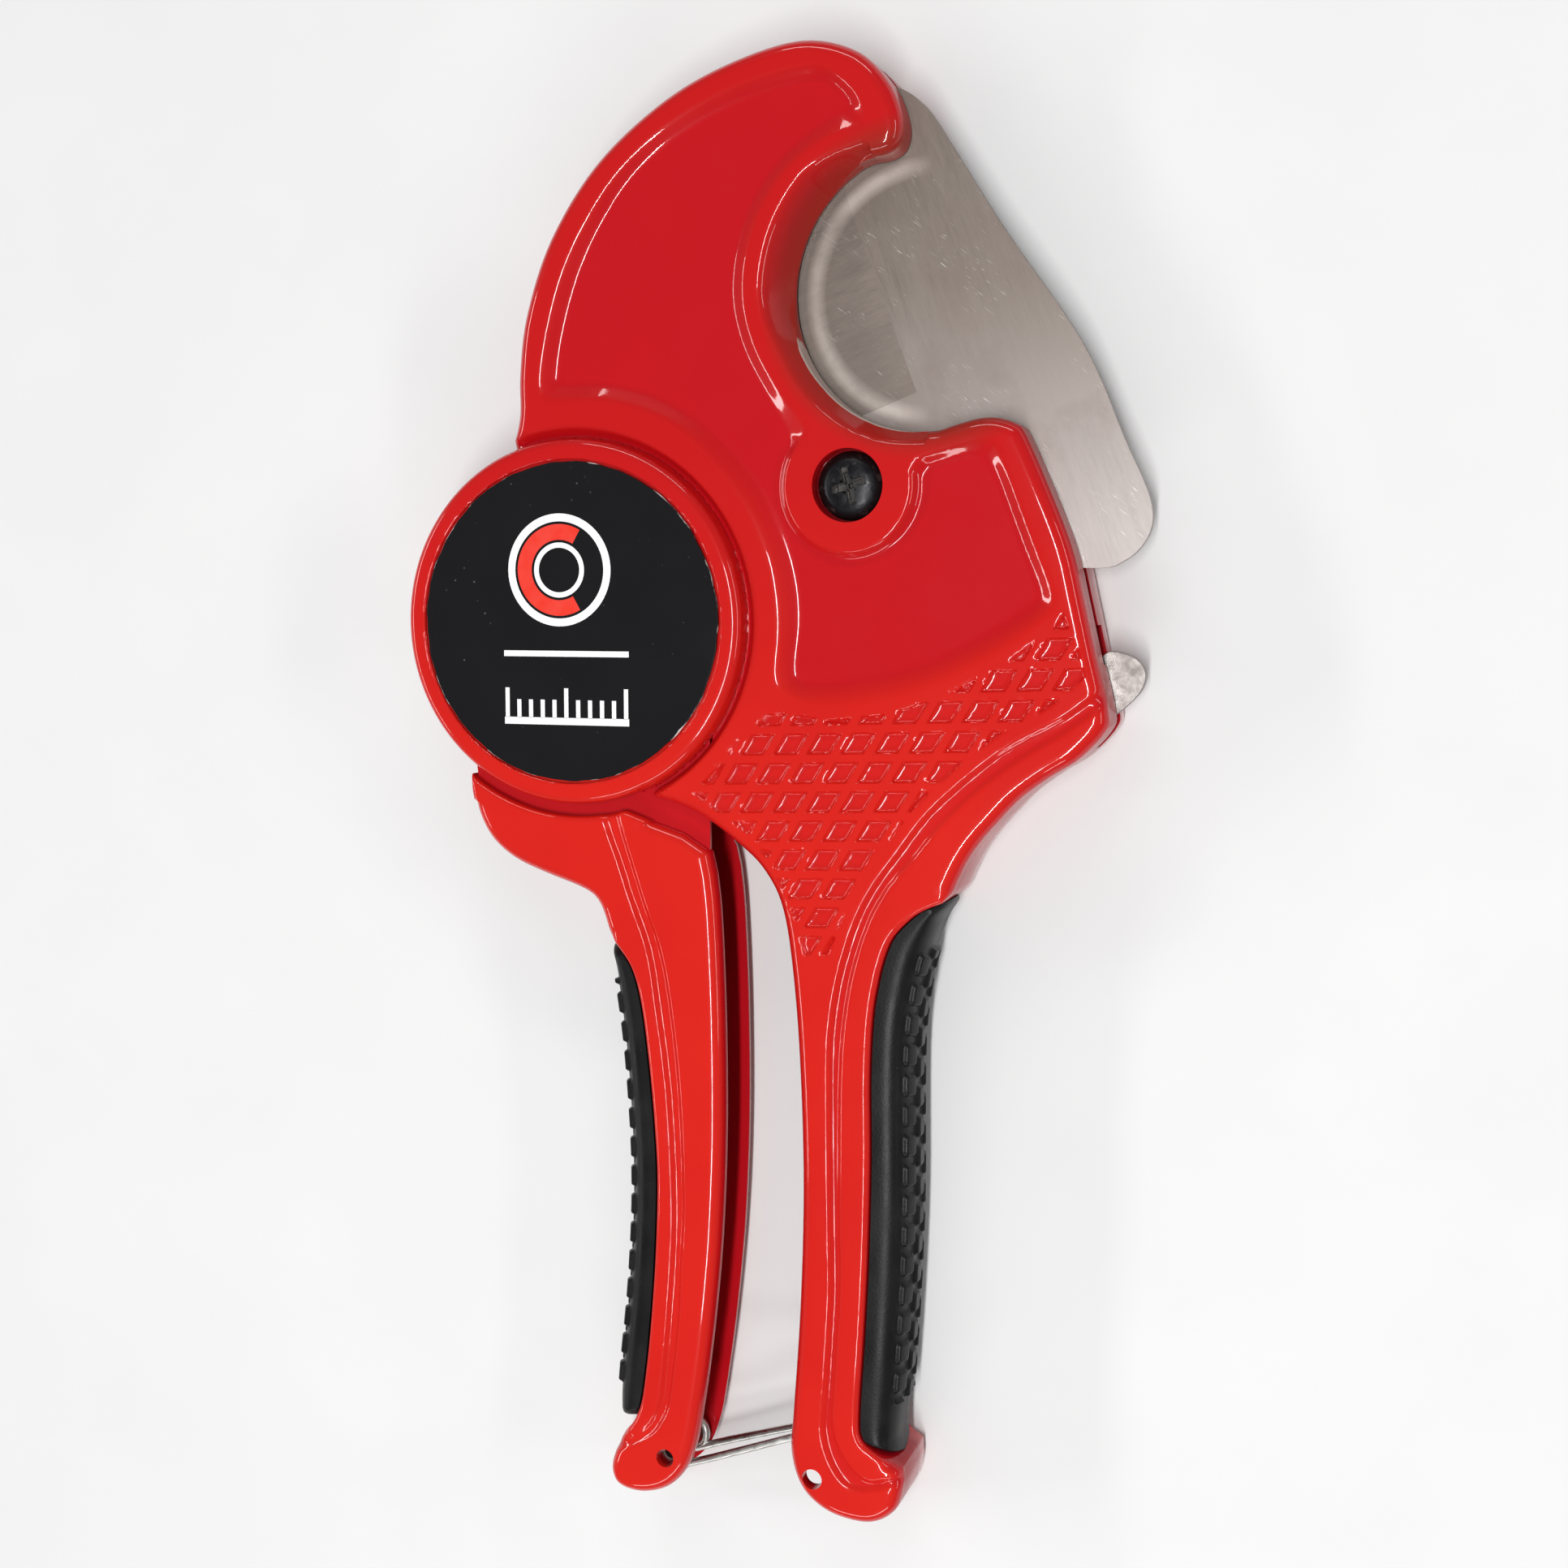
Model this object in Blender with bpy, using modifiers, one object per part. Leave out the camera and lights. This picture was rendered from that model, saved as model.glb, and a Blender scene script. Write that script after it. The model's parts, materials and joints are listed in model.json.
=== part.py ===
"""Ratcheting plastic-pipe cutter, lying flat on the back of its frame with the blade closed.

Lengths are in millimetres about the hub axis, which carries the moving handle.
+X is across the tool towards the blade, +Y runs along it towards the hook and +Z is up.
Heights are given about the blade's middle plane.
"""
import math

import bmesh
import bpy
from mathutils import Matrix, Vector

MM = 0.001
GAP = 0.3

# Where the object's base centre lies in hub coordinates
CENTRE_X = 29.83
CENTRE_Y = -26.95

# Heights of the layers
BACK = -8.6
BODY_FRONT = 7.2
HUB_FRONT = 8.8
HANDLE_HALF = 7.5
HEAD_HALF = 5.6
CAVITY_HALF = 5.9
CHANNEL_HALF = 4.9
HEAD_POCKET_HALF = 3.4
BLADE_HALF = 0.75
SLOT_HALF = 1.1
RATCHET_TOP = -1.05
RATCHET_BOTTOM = -3.2
PAWL_TOP = -1.35
PAWL_BOTTOM = -3.1
RATCHET_POCKET_BOTTOM = -3.5
TONGUE_HALF = 3.5

# Hub
HUB_RADIUS = 28.0
CAVITY_RADIUS = 22.0
HEAD_RADIUS = 21.5
PIN_RADIUS = 5.0
LABEL_RADIUS = 24.5
LABEL_THICKNESS = 0.4
LABEL_RECESS = 0.7
STEP_RADIUS = 30.0

# Jaw for pipe of 1-5/8 inch
JAW = (55.0, 48.4)
JAW_RADIUS = 20.64

# Blade
BLADE_PIVOT = (44.1, 20.2)
BEVEL_CORNER = (52.8, 33.9)
BEVEL_ANGLE = 110.85
BEVEL_WIDTH = 14.5
BEVEL_LENGTH = 60.0
EDGE_HALF = 0.1
SLOT_REACH = 61.0
HEEL_REACH = 45.2
SCREW_RADIUS = 3.2
SCREW_HEAD_RADIUS = 5.1
BUSHING_RADIUS = 5.0
RIVET_RADIUS = 1.4
RIVET_REACH = 8.2

# Ratchet
TOOTH_TIP = 26.0
TOOTH_DEPTH = 1.6
TOOTH_PITCH = 5.0
TEETH = 17
TOOTH_START = -110.0
TIP_CLEARANCE = 0.35
PAWL_PIVOT = (13.5, -13.0)
PAWL_CONTACT = -85.0
PAWL_PIN_RADIUS = 1.8
LEVER_PIVOT = (74.0, -11.5)
LEVER_CONTACT = -60.0
LEVER_PIN_RADIUS = 1.6

# Latch
LATCH_PIVOT = (14.6, -131.4)
LANYARD = (38.9, -131.4)
LANYARD_RADIUS = 1.4
SPACER_RADIUS = 1.8
SPACER_BORE = 1.2
WIRE_RADIUS = 0.6
WIRE_EYE = 2.8
WIRE_SPREAD = 3.5
BAIL_HALF = 2.2
CATCH_X = 38.4

RED = (0.72, 0.018, 0.014, 1.0)
RUBBER = (0.026, 0.026, 0.028, 1.0)
BLADE_STEEL = (0.42, 0.40, 0.38, 1.0)
BRIGHT_STEEL = (0.62, 0.62, 0.60, 1.0)
BLACK_OXIDE = (0.02, 0.02, 0.022, 1.0)
LABEL_BLACK = (0.012, 0.012, 0.013, 1.0)
BRONZE = (0.55, 0.36, 0.16, 1.0)


def polar(centre, radius, degrees):
    angle = math.radians(degrees)
    return centre[0] + radius * math.cos(angle), centre[1] + radius * math.sin(angle)


def arc(centre, radius, start, end, steps):
    """Points along an arc, both ends included."""
    return [polar(centre, radius, start + (end - start) * i / steps) for i in range(steps + 1)]


def circle(centre, radius, steps):
    return arc(centre, radius, 0.0, 360.0, steps)[:-1]


def smooth(knots, steps=4):
    """A curve through the knots (Catmull-Rom), ending on the first and last ones."""
    padded = [knots[0]] + list(knots) + [knots[-1]]
    points = []
    for i in range(len(knots) - 1):
        a, b, c, d = (Vector(p) for p in padded[i:i + 4])
        for k in range(steps):
            t = k / steps
            point = 0.5 * (2 * b + (c - a) * t + (2 * a - 5 * b + 4 * c - d) * t * t
                           + (3 * b - a - 3 * c + d) * t ** 3)
            points.append(tuple(point))
    points.append(tuple(knots[-1]))
    return points


# ---------------------------------------------------------------- outlines

HUB = (0.0, 0.0)


def hook_outline():
    """Outside of the hook from the hub, over its tip, to the start of the jaw."""
    knots = [(-10.9, 26.0), (-9.4, 31.5), (-9.3, 38.0), (-8.0, 47.0), (-3.8, 58.1), (3.8, 68.7),
             (14.0, 76.8), (24.4, 81.7), (36.0, 84.3), (44.4, 82.4), (49.4, 77.8), (51.7, 72.5),
             (51.5, 69.0), (49.6, 67.4), (46.4, 66.9)]
    return smooth(knots, 2)


def lower_body_outline():
    """From the jaw's lip, down the right side, to where the grip starts."""
    knots = [(57.5, 27.9), (60.4, 28.8), (63.4, 29.5), (66.0, 29.5), (68.7, 28.6), (70.3, 26.8),
             (74.4, 17.7), (77.2, 10.5), (78.9, 3.5), (80.6, -3.9), (82.6, -12.3), (82.2, -15.2),
             (78.5, -19.2), (74.2, -22.0), (70.1, -25.1), (66.9, -28.5), (64.0, -31.9),
             (61.9, -35.2), (60.0, -39.4)]
    return smooth(knots, 2)


FIXED_GRIP_BORDER = [(58.7, -40.9), (55.6, -42.3), (53.4, -44.0), (51.2, -46.5), (49.9, -49.6),
                     (48.9, -53.6), (48.1, -59.0), (47.7, -68.0), (47.8, -80.0), (47.5, -95.0),
                     (46.9, -108.0), (46.2, -120.0), (46.6, -124.2), (49.3, -126.4)]


def fixed_handle_end():
    """Round the bottom of the fixed handle and up its inner side to the hub."""
    knots = [(52.9, -128.4), (53.0, -131.2), (51.9, -135.0), (48.6, -137.4), (44.3, -137.6),
             (40.0, -136.3), (36.6, -133.2), (35.0, -128.0), (35.3, -121.7), (36.4, -105.0),
             (36.9, -86.0), (36.4, -68.0), (35.3, -53.5), (33.6, -43.0), (30.6, -37.2),
             (26.2, -33.2), (20.6, -29.4), (15.4, -27.4), (9.6, -26.5)]
    return smooth(knots, 2)


def frame_outline():
    outline = hook_outline()
    outline += arc(JAW, JAW_RADIUS, 119.0, 268.0, 18)
    outline += lower_body_outline()
    outline += smooth(FIXED_GRIP_BORDER, 2)
    outline += fixed_handle_end()
    outline += arc(HUB, HUB_RADIUS, -73.0, -245.0, 20)
    return outline


def handle_step():
    """The shoulder where the moving handle steps down to pass under the frame's cheek."""
    return arc(HUB, STEP_RADIUS, 233.0, 286.0, 8) + [(13.3, -30.6), (17.8, -32.0), (22.2, -34.7)]


MOVING_GRIP_BORDER = [(8.8, -126.7), (10.2, -123.6), (11.1, -118.4), (12.0, -110.5), (12.9, -99.0),
                      (13.3, -87.0), (12.9, -78.0), (12.0, -68.0), (10.8, -59.0), (9.3, -53.6),
                      (7.0, -50.2)]


def moving_handle_outline():
    side = [(23.0, -38.2), (23.7, -45.0), (24.3, -60.0), (24.4, -78.0), (23.7, -95.0),
            (22.2, -110.5), (20.4, -123.2), (19.2, -129.2), (17.3, -133.8), (14.2, -136.9),
            (9.8, -138.2), (6.0, -137.4), (4.8, -134.8), (5.6, -131.6), (7.2, -128.4)]
    shoulder = [(5.2, -48.1), (3.6, -43.7), (1.0, -41.6), (-5.8, -39.3), (-11.0, -37.2),
                (-14.8, -34.2), (-17.0, -30.4), (-18.0, -26.4)]
    return handle_step() + smooth(side, 2) + smooth(MOVING_GRIP_BORDER, 2) + smooth(shoulder, 2)


def blade_outline():
    """Cutting edge, tang round the pivot, heel, back and nose."""
    back = [(68.0, 8.7), (80.0, 8.1), (83.6, 9.1), (86.2, 11.3), (87.6, 14.6), (86.9, 18.9),
            (83.6, 26.1), (79.4, 36.0), (75.0, 43.6), (65.4, 57.1), (57.4, 69.6), (53.4, 75.2),
            (48.7, 78.1), (42.0, 79.5), (34.0, 79.0), (27.4, 76.4), (23.3, 71.4)]
    tang = arc(BLADE_PIVOT, 10.6, 120.0, 285.0, 12)
    return smooth(back, 3) + [edge_point(0.0)] + tang


def edge_point(along):
    """A point on the cutting edge, measured from its lower end."""
    corner = polar(BEVEL_CORNER, BEVEL_WIDTH, BEVEL_ANGLE + 90.0)
    return polar(corner, along, BEVEL_ANGLE)


def blade_slot_outline():
    """Everything the blade sweeps between the cheeks from closed to open."""
    foot = polar(edge_point(2.0), 1.4, BEVEL_ANGLE + 90.0)
    top = polar(edge_point(43.0), 1.4, BEVEL_ANGLE + 90.0)
    upper = arc(BLADE_PIVOT, SLOT_REACH, 110.0, 25.0, 10)
    lower = arc(BLADE_PIVOT, HEEL_REACH, 20.0, -99.0, 14)
    tang = arc(BLADE_PIVOT, 11.8, -148.0, -230.0, 6)
    return [foot, top] + upper + lower + tang


def ratchet_outline():
    """A round tang with a sector of saw teeth."""
    points = []
    for i in range(TEETH):
        angle = TOOTH_START + i * TOOTH_PITCH
        points.append(polar(BLADE_PIVOT, TOOTH_TIP - TOOTH_DEPTH, angle))
        points.append(polar(BLADE_PIVOT, TOOTH_TIP, angle + 0.4))
        points.append(polar(BLADE_PIVOT, TOOTH_TIP, angle + 1.2))
    end = TOOTH_START + TEETH * TOOTH_PITCH
    points.append(polar(BLADE_PIVOT, TOOTH_TIP - TOOTH_DEPTH, end))
    return points + arc(BLADE_PIVOT, 10.6, end + 14.0, 360.0 + TOOTH_START - 14.0, 16)


def strut(start, end, root, width, tip_width):
    """A tapered arm with a round root at start and a blunt tip at end."""
    direction = math.degrees(math.atan2(end[1] - start[1], end[0] - start[0]))
    outline = arc(start, root, direction + 60.0, direction + 300.0, 14)
    middle = polar(start, root + 3.0, direction)
    outline.append(polar(middle, width, direction - 90.0))
    outline.append(polar(polar(end, -4.0, direction), width, direction - 90.0))
    outline.append(polar(end, tip_width, direction - 90.0))
    outline.append(polar(end, tip_width, direction + 90.0))
    outline.append(polar(polar(end, -4.0, direction), width, direction + 90.0))
    outline.append(polar(middle, width, direction + 90.0))
    return outline


# ---------------------------------------------------------------- modelling tools

def clear_scene():
    for obj in list(bpy.data.objects):
        bpy.data.objects.remove(obj, do_unlink=True)


def collection(name):
    made = bpy.data.collections.new(name)
    bpy.context.scene.collection.children.link(made)
    return made


def material(name, colour, roughness, metallic):
    made = bpy.data.materials.new(name)
    made.use_nodes = True
    shader = made.node_tree.nodes["Principled BSDF"]
    shader.inputs["Base Color"].default_value = colour
    shader.inputs["Roughness"].default_value = roughness
    shader.inputs["Metallic"].default_value = metallic
    made.diffuse_color = colour
    return made


def add_object(name, mesh, target, parent, location=(0.0, 0.0, 0.0)):
    obj = bpy.data.objects.new(name, mesh)
    target.objects.link(obj)
    obj.parent = parent
    obj.location = location
    if target.name == "cutters":
        obj.hide_render = True
        obj.display_type = "WIRE"
    return obj


def offset_from(parent):
    """Places geometry given about the hub axis under a parent that stands elsewhere."""
    if parent.parent is None:
        return Vector((0.0, 0.0, 0.0))
    return -Vector(parent.location)


def curve_to_mesh(curve_object, name, target, parent):
    """Makes a mesh of a filled or bevelled curve and welds its caps."""
    bpy.context.view_layer.update()
    graph = bpy.context.evaluated_depsgraph_get()
    mesh = bpy.data.meshes.new_from_object(curve_object.evaluated_get(graph))
    mesh.name = name
    shape = bmesh.new()
    shape.from_mesh(mesh)
    bmesh.ops.remove_doubles(shape, verts=shape.verts, dist=0.000001)
    bmesh.ops.recalc_face_normals(shape, faces=shape.faces)
    shape.to_mesh(mesh)
    shape.free()
    location = curve_object.location.copy()
    curve = curve_object.data
    bpy.data.objects.remove(curve_object, do_unlink=True)
    bpy.data.curves.remove(curve)
    mesh.materials.clear()
    return add_object(name, mesh, target, parent, location)


def prism(name, loops, low, high, target, parent):
    """A flat outline, with any holes as further loops, between two heights."""
    curve = bpy.data.curves.new(name, "CURVE")
    curve.dimensions = "2D"
    curve.fill_mode = "BOTH"
    curve.extrude = (high - low) / 2 * MM
    shift = offset_from(parent)
    for loop in loops:
        spline = curve.splines.new("POLY")
        spline.points.add(len(loop) - 1)
        for point, (x, y) in zip(spline.points, loop):
            point.co = (x * MM, y * MM, 0.0, 1.0)
        spline.use_cyclic_u = True
    flat = add_object(name, curve, target, parent)
    flat.location = shift + Vector((0.0, 0.0, (high + low) / 2 * MM))
    return curve_to_mesh(flat, name, target, parent)


def cylinder(name, centre, radius, low, high, target, parent, segments=28, top_radius=None):
    """A round post along Z, tapered when the top radius is given."""
    mesh = bpy.data.meshes.new(name)
    shape = bmesh.new()
    bmesh.ops.create_cone(shape, cap_ends=True, segments=segments, radius1=radius * MM,
                          radius2=(radius if top_radius is None else top_radius) * MM,
                          depth=(high - low) * MM)
    shape.to_mesh(mesh)
    shape.free()
    middle = Vector((centre[0] * MM, centre[1] * MM, (high + low) / 2 * MM))
    return add_object(name, mesh, target, parent, middle + offset_from(parent))


def turned(name, centre, profile, target, parent, steps=28):
    """A turned piece: the profile runs from the top of its axis, down its outside, to the foot."""
    mesh = bpy.data.meshes.new(name)
    points = [(radius * MM, 0.0, height * MM) for radius, height in profile]
    mesh.from_pydata(points, [(i, i + 1) for i in range(len(points) - 1)], [])
    where = Vector((centre[0] * MM, centre[1] * MM, 0.0)) + offset_from(parent)
    obj = add_object(name, mesh, target, parent, where)
    screw = obj.modifiers.new("turn", "SCREW")
    screw.steps = steps
    screw.render_steps = steps
    screw.use_merge_vertices = True
    screw.merge_threshold = 0.000001
    return obj


def wire(name, path, radius, target, parent, resolution=2):
    """A round wire along a path of (x, y, z) points."""
    curve = bpy.data.curves.new(name, "CURVE")
    curve.dimensions = "3D"
    curve.bevel_depth = radius * MM
    curve.bevel_resolution = resolution
    curve.use_fill_caps = True
    spline = curve.splines.new("POLY")
    spline.points.add(len(path) - 1)
    for point, place in zip(spline.points, path):
        point.co = (place[0] * MM, place[1] * MM, place[2] * MM, 1.0)
    bent = add_object(name, curve, target, parent)
    bent.location = offset_from(parent)
    return curve_to_mesh(bent, name, target, parent)


def combine(obj, other, operation):
    step = obj.modifiers.new(operation.lower() + "_" + other.name, "BOOLEAN")
    step.operation = operation
    step.object = other
    step.solver = "EXACT"


def soften(obj, width, segments):
    bevel = obj.modifiers.new("soft_edges", "BEVEL")
    bevel.width = width * MM
    bevel.segments = segments
    bevel.limit_method = "ANGLE"
    bevel.angle_limit = math.radians(50.0)


def finish(obj, look, angle=30.0):
    """Gives a piece its material and smooth shading broken at its sharp edges."""
    obj.data.materials.append(look)
    obj.data.shade_smooth()
    obj.data.set_sharp_from_angle(angle=math.radians(angle))
    return obj


# ---------------------------------------------------------------- frame

def frame_cavities(cutters, axis):
    """All that is hollowed out of the frame, as (cutter, name) solids."""
    def flat(name, outline, low, high):
        return prism("cut_" + name, [outline], low, high, cutters, axis)

    def round_hole(name, centre, radius, low, high):
        return cylinder("cut_" + name, centre, radius, low, high, cutters, axis)

    head_way = [(0.0, 0.0), (22.4, -8.0), (22.4, -50.0), (-40.0, -50.0), (-40.0, 1.0)]
    pawl_way = [(16.0, -17.0), (36.0, -13.0), (50.0, -11.0), (54.0, -3.0), (30.0, 4.0), (16.0, -3.0)]
    lever_way = [(54.0, -2.0), (55.0, -8.5), (64.0, -16.0), (74.0, -18.0), (90.0, -18.0),
                 (90.0, 1.5), (74.0, -1.0), (62.0, 3.0)]
    ratchet_way = arc(BLADE_PIVOT, TOOTH_TIP + 0.8, -200.0, -14.0, 20)
    ratchet_way += arc(BLADE_PIVOT, 11.7, -4.0, 160.0, 8)
    channel = [(30.0, -47.0), (39.5, -49.5), (43.6, -60.0), (43.9, -86.0), (43.2, -110.0),
               (42.6, -126.0), (43.0, -145.0), (30.0, -145.0)]
    return [
        round_hole("hub_cavity", HUB, CAVITY_RADIUS, -CAVITY_HALF, CAVITY_HALF),
        flat("head_way", head_way, -CAVITY_HALF + 0.02, CAVITY_HALF - 0.02),
        flat("blade_slot", blade_slot_outline(), -SLOT_HALF, SLOT_HALF),
        flat("ratchet_way", ratchet_way, RATCHET_POCKET_BOTTOM, -0.5),
        flat("pawl_way", pawl_way, RATCHET_POCKET_BOTTOM - 0.01, -0.6),
        flat("lever_way", lever_way, RATCHET_POCKET_BOTTOM - 0.02, -0.7),
        flat("handle_channel", channel, -CHANNEL_HALF, CHANNEL_HALF),
        round_hole("hub_bore", HUB, PIN_RADIUS + GAP, -20.0, 20.0),
        round_hole("label_recess", HUB, LABEL_RADIUS + GAP, HUB_FRONT - LABEL_RECESS, 20.0),
        round_hole("pin_head_recess", HUB, 8.3, 6.8, 20.0),
        round_hole("ring_recess", HUB, 8.3, -20.0, -7.3),
        round_hole("screw_bore", BLADE_PIVOT, SCREW_RADIUS + GAP, -20.0, 20.0),
        round_hole("bushing_bore", BLADE_PIVOT, BUSHING_RADIUS + GAP, -3.7, 1.4),
        round_hole("screw_head_recess", BLADE_PIVOT, SCREW_HEAD_RADIUS + GAP, 4.2, 20.0),
        round_hole("nut_recess", BLADE_PIVOT, 6.4, -20.0, -4.9),
        round_hole("lever_pin_hole", LEVER_PIVOT, LEVER_PIN_RADIUS + GAP, -8.0, -2.0),
        round_hole("lever_spring_recess", LEVER_PIVOT, 4.4, -6.4, -3.0),
        round_hole("lanyard_hole", LANYARD, LANYARD_RADIUS, -20.0, 20.0),
    ]


def frame_casting(parts, cutters, axis, look):
    frame = prism("frame_casting", [frame_outline()], BACK, BODY_FRONT, parts, axis)
    soften(frame, 1.2, 1)
    side = HUB_RADIUS - 0.05
    hub = turned("add_hub", HUB, [(0.0, HUB_FRONT), (side - 1.3, HUB_FRONT), (side, HUB_FRONT - 1.3),
                                  (side, BACK + 0.4), (0.0, BACK + 0.4)], cutters, axis, 48)
    boss = cylinder("add_screw_boss", BLADE_PIVOT, 9.2, 5.0, BODY_FRONT + 0.6, cutters, axis, 32, 8.6)
    tongue = prism("add_grip_tongue", [grip_tongue(FIXED_GRIP_BORDER[3:-2], 1.0)], -TONGUE_HALF,
                   TONGUE_HALF, cutters, axis)
    for extra in (hub, boss, tongue):
        combine(frame, extra, "UNION")
    for cutter in frame_cavities(cutters, axis):
        combine(frame, cutter, "DIFFERENCE")
    combine(frame, catch_rib(cutters, axis), "UNION")
    return finish(frame, look)


def catch_rib(cutters, axis):
    """A rib down the middle of the fixed handle's channel, which the latch hooks behind."""
    outline = [(46.0, -104.0), (CATCH_X, -110.0), (CATCH_X, -127.6), (CATCH_X + 1.6, -127.6),
               (CATCH_X + 1.6, -116.0), (46.0, -113.0)]
    return prism("add_catch_rib", [outline], -1.2, 1.2, cutters, axis)


def grip_tongue(border, side):
    """A rail along a grip's border: side 1 stands to +X of it and side -1 to -X."""
    inner = [(x - side * 1.5, y) for x, y in smooth(border, 2)]
    outer = [(x + side * 2.6, y) for x, y in reversed(smooth(border, 2))]
    return inner + outer


def grip_socket(border, side):
    """The room in a grip for its tongue, open towards the casting."""
    inner = [(x - side * 4.0, y) for x, y in smooth(border, 2)]
    outer = [(x + side * (2.6 + GAP), y) for x, y in reversed(smooth(border, 2))]
    outer[0] = (outer[0][0], outer[0][1] + math.copysign(GAP, outer[0][1] - outer[-1][1]))
    outer[-1] = (outer[-1][0], outer[-1][1] - math.copysign(GAP, outer[0][1] - outer[-1][1]))
    return inner + outer


# ---------------------------------------------------------------- moving handle

def moving_handle(parts, cutters, pivot, look):
    handle = prism("moving_handle", [moving_handle_outline()], -HANDLE_HALF, HANDLE_HALF, parts, pivot)
    soften(handle, 1.2, 1)
    neck = [(-17.4, -24.6), (-19.3, -9.0), (0.0, 0.0), (18.5, -9.0), (21.9, -13.0), (21.9, -36.0),
            (14.0, -34.0), (0.0, -33.0), (-15.0, -29.0)]
    channel = [(32.0, -36.5), (8.5, -37.5), (9.6, -44.0), (12.4, -52.0), (14.3, -60.0), (15.7, -74.0),
               (16.3, -86.0), (15.9, -98.0), (14.7, -111.0), (13.4, -120.0), (11.0, -127.0),
               (8.4, -132.0), (8.4, -150.0), (32.0, -150.0)]
    pocket = [(0.0, 10.0), (30.0, 14.0), (30.0, -22.0), (9.0, -22.0), (-4.0, -9.0)]
    head = cylinder("add_head", HUB, HEAD_RADIUS, -HEAD_HALF, HEAD_HALF, cutters, pivot, 40)
    neck_plate = prism("add_neck", [neck], -HEAD_HALF, HEAD_HALF, cutters, pivot)
    tongue = prism("add_moving_tongue", [grip_tongue(MOVING_GRIP_BORDER[2:-1], -1.0)], -TONGUE_HALF,
                   TONGUE_HALF, cutters, pivot)
    combine(handle, neck_plate, "UNION")
    combine(handle, head, "UNION")
    combine(handle, tongue, "UNION")
    for cutter in (
        prism("cut_channel", [channel], -CHANNEL_HALF, CHANNEL_HALF, cutters, pivot),
        prism("cut_head_pocket", [pocket], -HEAD_POCKET_HALF, HEAD_POCKET_HALF, cutters, pivot),
        cylinder("cut_spring_room", HUB, 10.2, -HEAD_POCKET_HALF - 0.01, HEAD_POCKET_HALF + 0.01,
                 cutters, pivot),
        cylinder("cut_pin_bore", HUB, PIN_RADIUS + GAP, -20.0, 20.0, cutters, pivot),
        cylinder("cut_pawl_pin_bore", PAWL_PIVOT, PAWL_PIN_RADIUS + GAP, -20.0, 20.0, cutters, pivot),
        cylinder("cut_spacer_bore", LATCH_PIVOT, SPACER_BORE, -20.0, 20.0, cutters, pivot, 24),
    ):
        combine(handle, cutter, "DIFFERENCE")
    return finish(handle, look)


# ---------------------------------------------------------------- grips

def fixed_grip(parts, cutters, axis, look):
    """Rubber pad along the outside of the fixed handle."""
    border = smooth([(x + GAP, y) for x, y in FIXED_GRIP_BORDER], 2)
    outside = [(53.0, -127.6), (53.6, -120.0), (54.3, -110.0), (54.9, -98.0), (55.2, -86.0),
               (55.1, -70.0), (55.3, -62.0), (56.0, -56.0), (57.2, -50.0), (58.8, -45.2),
               (60.2, -41.4)]
    grip = prism("fixed_grip", [border + smooth(outside, 2)], -7.6, 6.9, parts, axis)
    soften(grip, 2.4, 2)
    socket = prism("cut_grip_socket", [grip_socket(FIXED_GRIP_BORDER[3:-2], 1.0)],
                   -TONGUE_HALF - GAP, TONGUE_HALF + GAP, cutters, axis)
    combine(grip, socket, "DIFFERENCE")
    return finish(grip, look)


def moving_grip(parts, cutters, pivot, look):
    """Rubber pad along the outside of the moving handle."""
    border = smooth([(x - GAP, y) for x, y in MOVING_GRIP_BORDER], 2)
    outside = [(4.3, -50.0), (5.4, -58.0), (6.4, -66.0), (7.1, -75.0), (7.5, -84.0), (7.4, -94.0),
               (6.6, -106.0), (5.4, -117.0), (5.0, -124.0), (5.9, -127.3)]
    grip = prism("moving_grip", [border + smooth(outside, 2)], -7.2, 7.2, parts, pivot)
    soften(grip, 2.4, 2)
    socket = prism("cut_moving_grip_socket", [grip_socket(MOVING_GRIP_BORDER[2:-1], -1.0)],
                   -TONGUE_HALF - GAP, TONGUE_HALF + GAP, cutters, pivot)
    combine(grip, socket, "DIFFERENCE")
    return finish(grip, look)


# ---------------------------------------------------------------- blade

def bevel_cutter(name, side, cutters, pivot):
    """A block whose face is the ground facet on one side of the cutting edge."""
    mesh = bpy.data.meshes.new(name)
    shape = bmesh.new()
    bmesh.ops.create_cube(shape, size=1.0)
    bmesh.ops.scale(shape, vec=(BEVEL_LENGTH * MM, 30.0 * MM, 3.0 * MM), verts=shape.verts)
    bmesh.ops.translate(shape, vec=(BEVEL_LENGTH / 2 * MM, 15.0 * MM, side * 1.5 * MM),
                        verts=shape.verts)
    tilt = math.atan2(BLADE_HALF - EDGE_HALF, BEVEL_WIDTH)
    turn = Matrix.Rotation(math.radians(BEVEL_ANGLE), 4, "Z") @ Matrix.Rotation(-side * tilt, 4, "X")
    bmesh.ops.transform(shape, matrix=turn, verts=shape.verts)
    shape.to_mesh(mesh)
    shape.free()
    where = Vector((BEVEL_CORNER[0] * MM, BEVEL_CORNER[1] * MM, side * BLADE_HALF * MM))
    return add_object(name, mesh, cutters, pivot, where + offset_from(pivot))


def blade(parts, cutters, pivot, look):
    plate = prism("blade", [blade_outline()], -BLADE_HALF, BLADE_HALF, parts, pivot)
    for side in (1.0, -1.0):
        combine(plate, bevel_cutter("cut_facet_%d" % side, side, cutters, pivot), "DIFFERENCE")
    combine(plate, cylinder("cut_blade_bore", BLADE_PIVOT, BUSHING_RADIUS + GAP, -5.0, 5.0, cutters,
                            pivot), "DIFFERENCE")
    for name, angle in RIVETS:
        combine(plate, cylinder("cut_blade_" + name, polar(BLADE_PIVOT, RIVET_REACH, angle),
                                RIVET_RADIUS + GAP, -5.0, 5.0, cutters, pivot, 20), "DIFFERENCE")
    return finish(plate, look)


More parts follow.
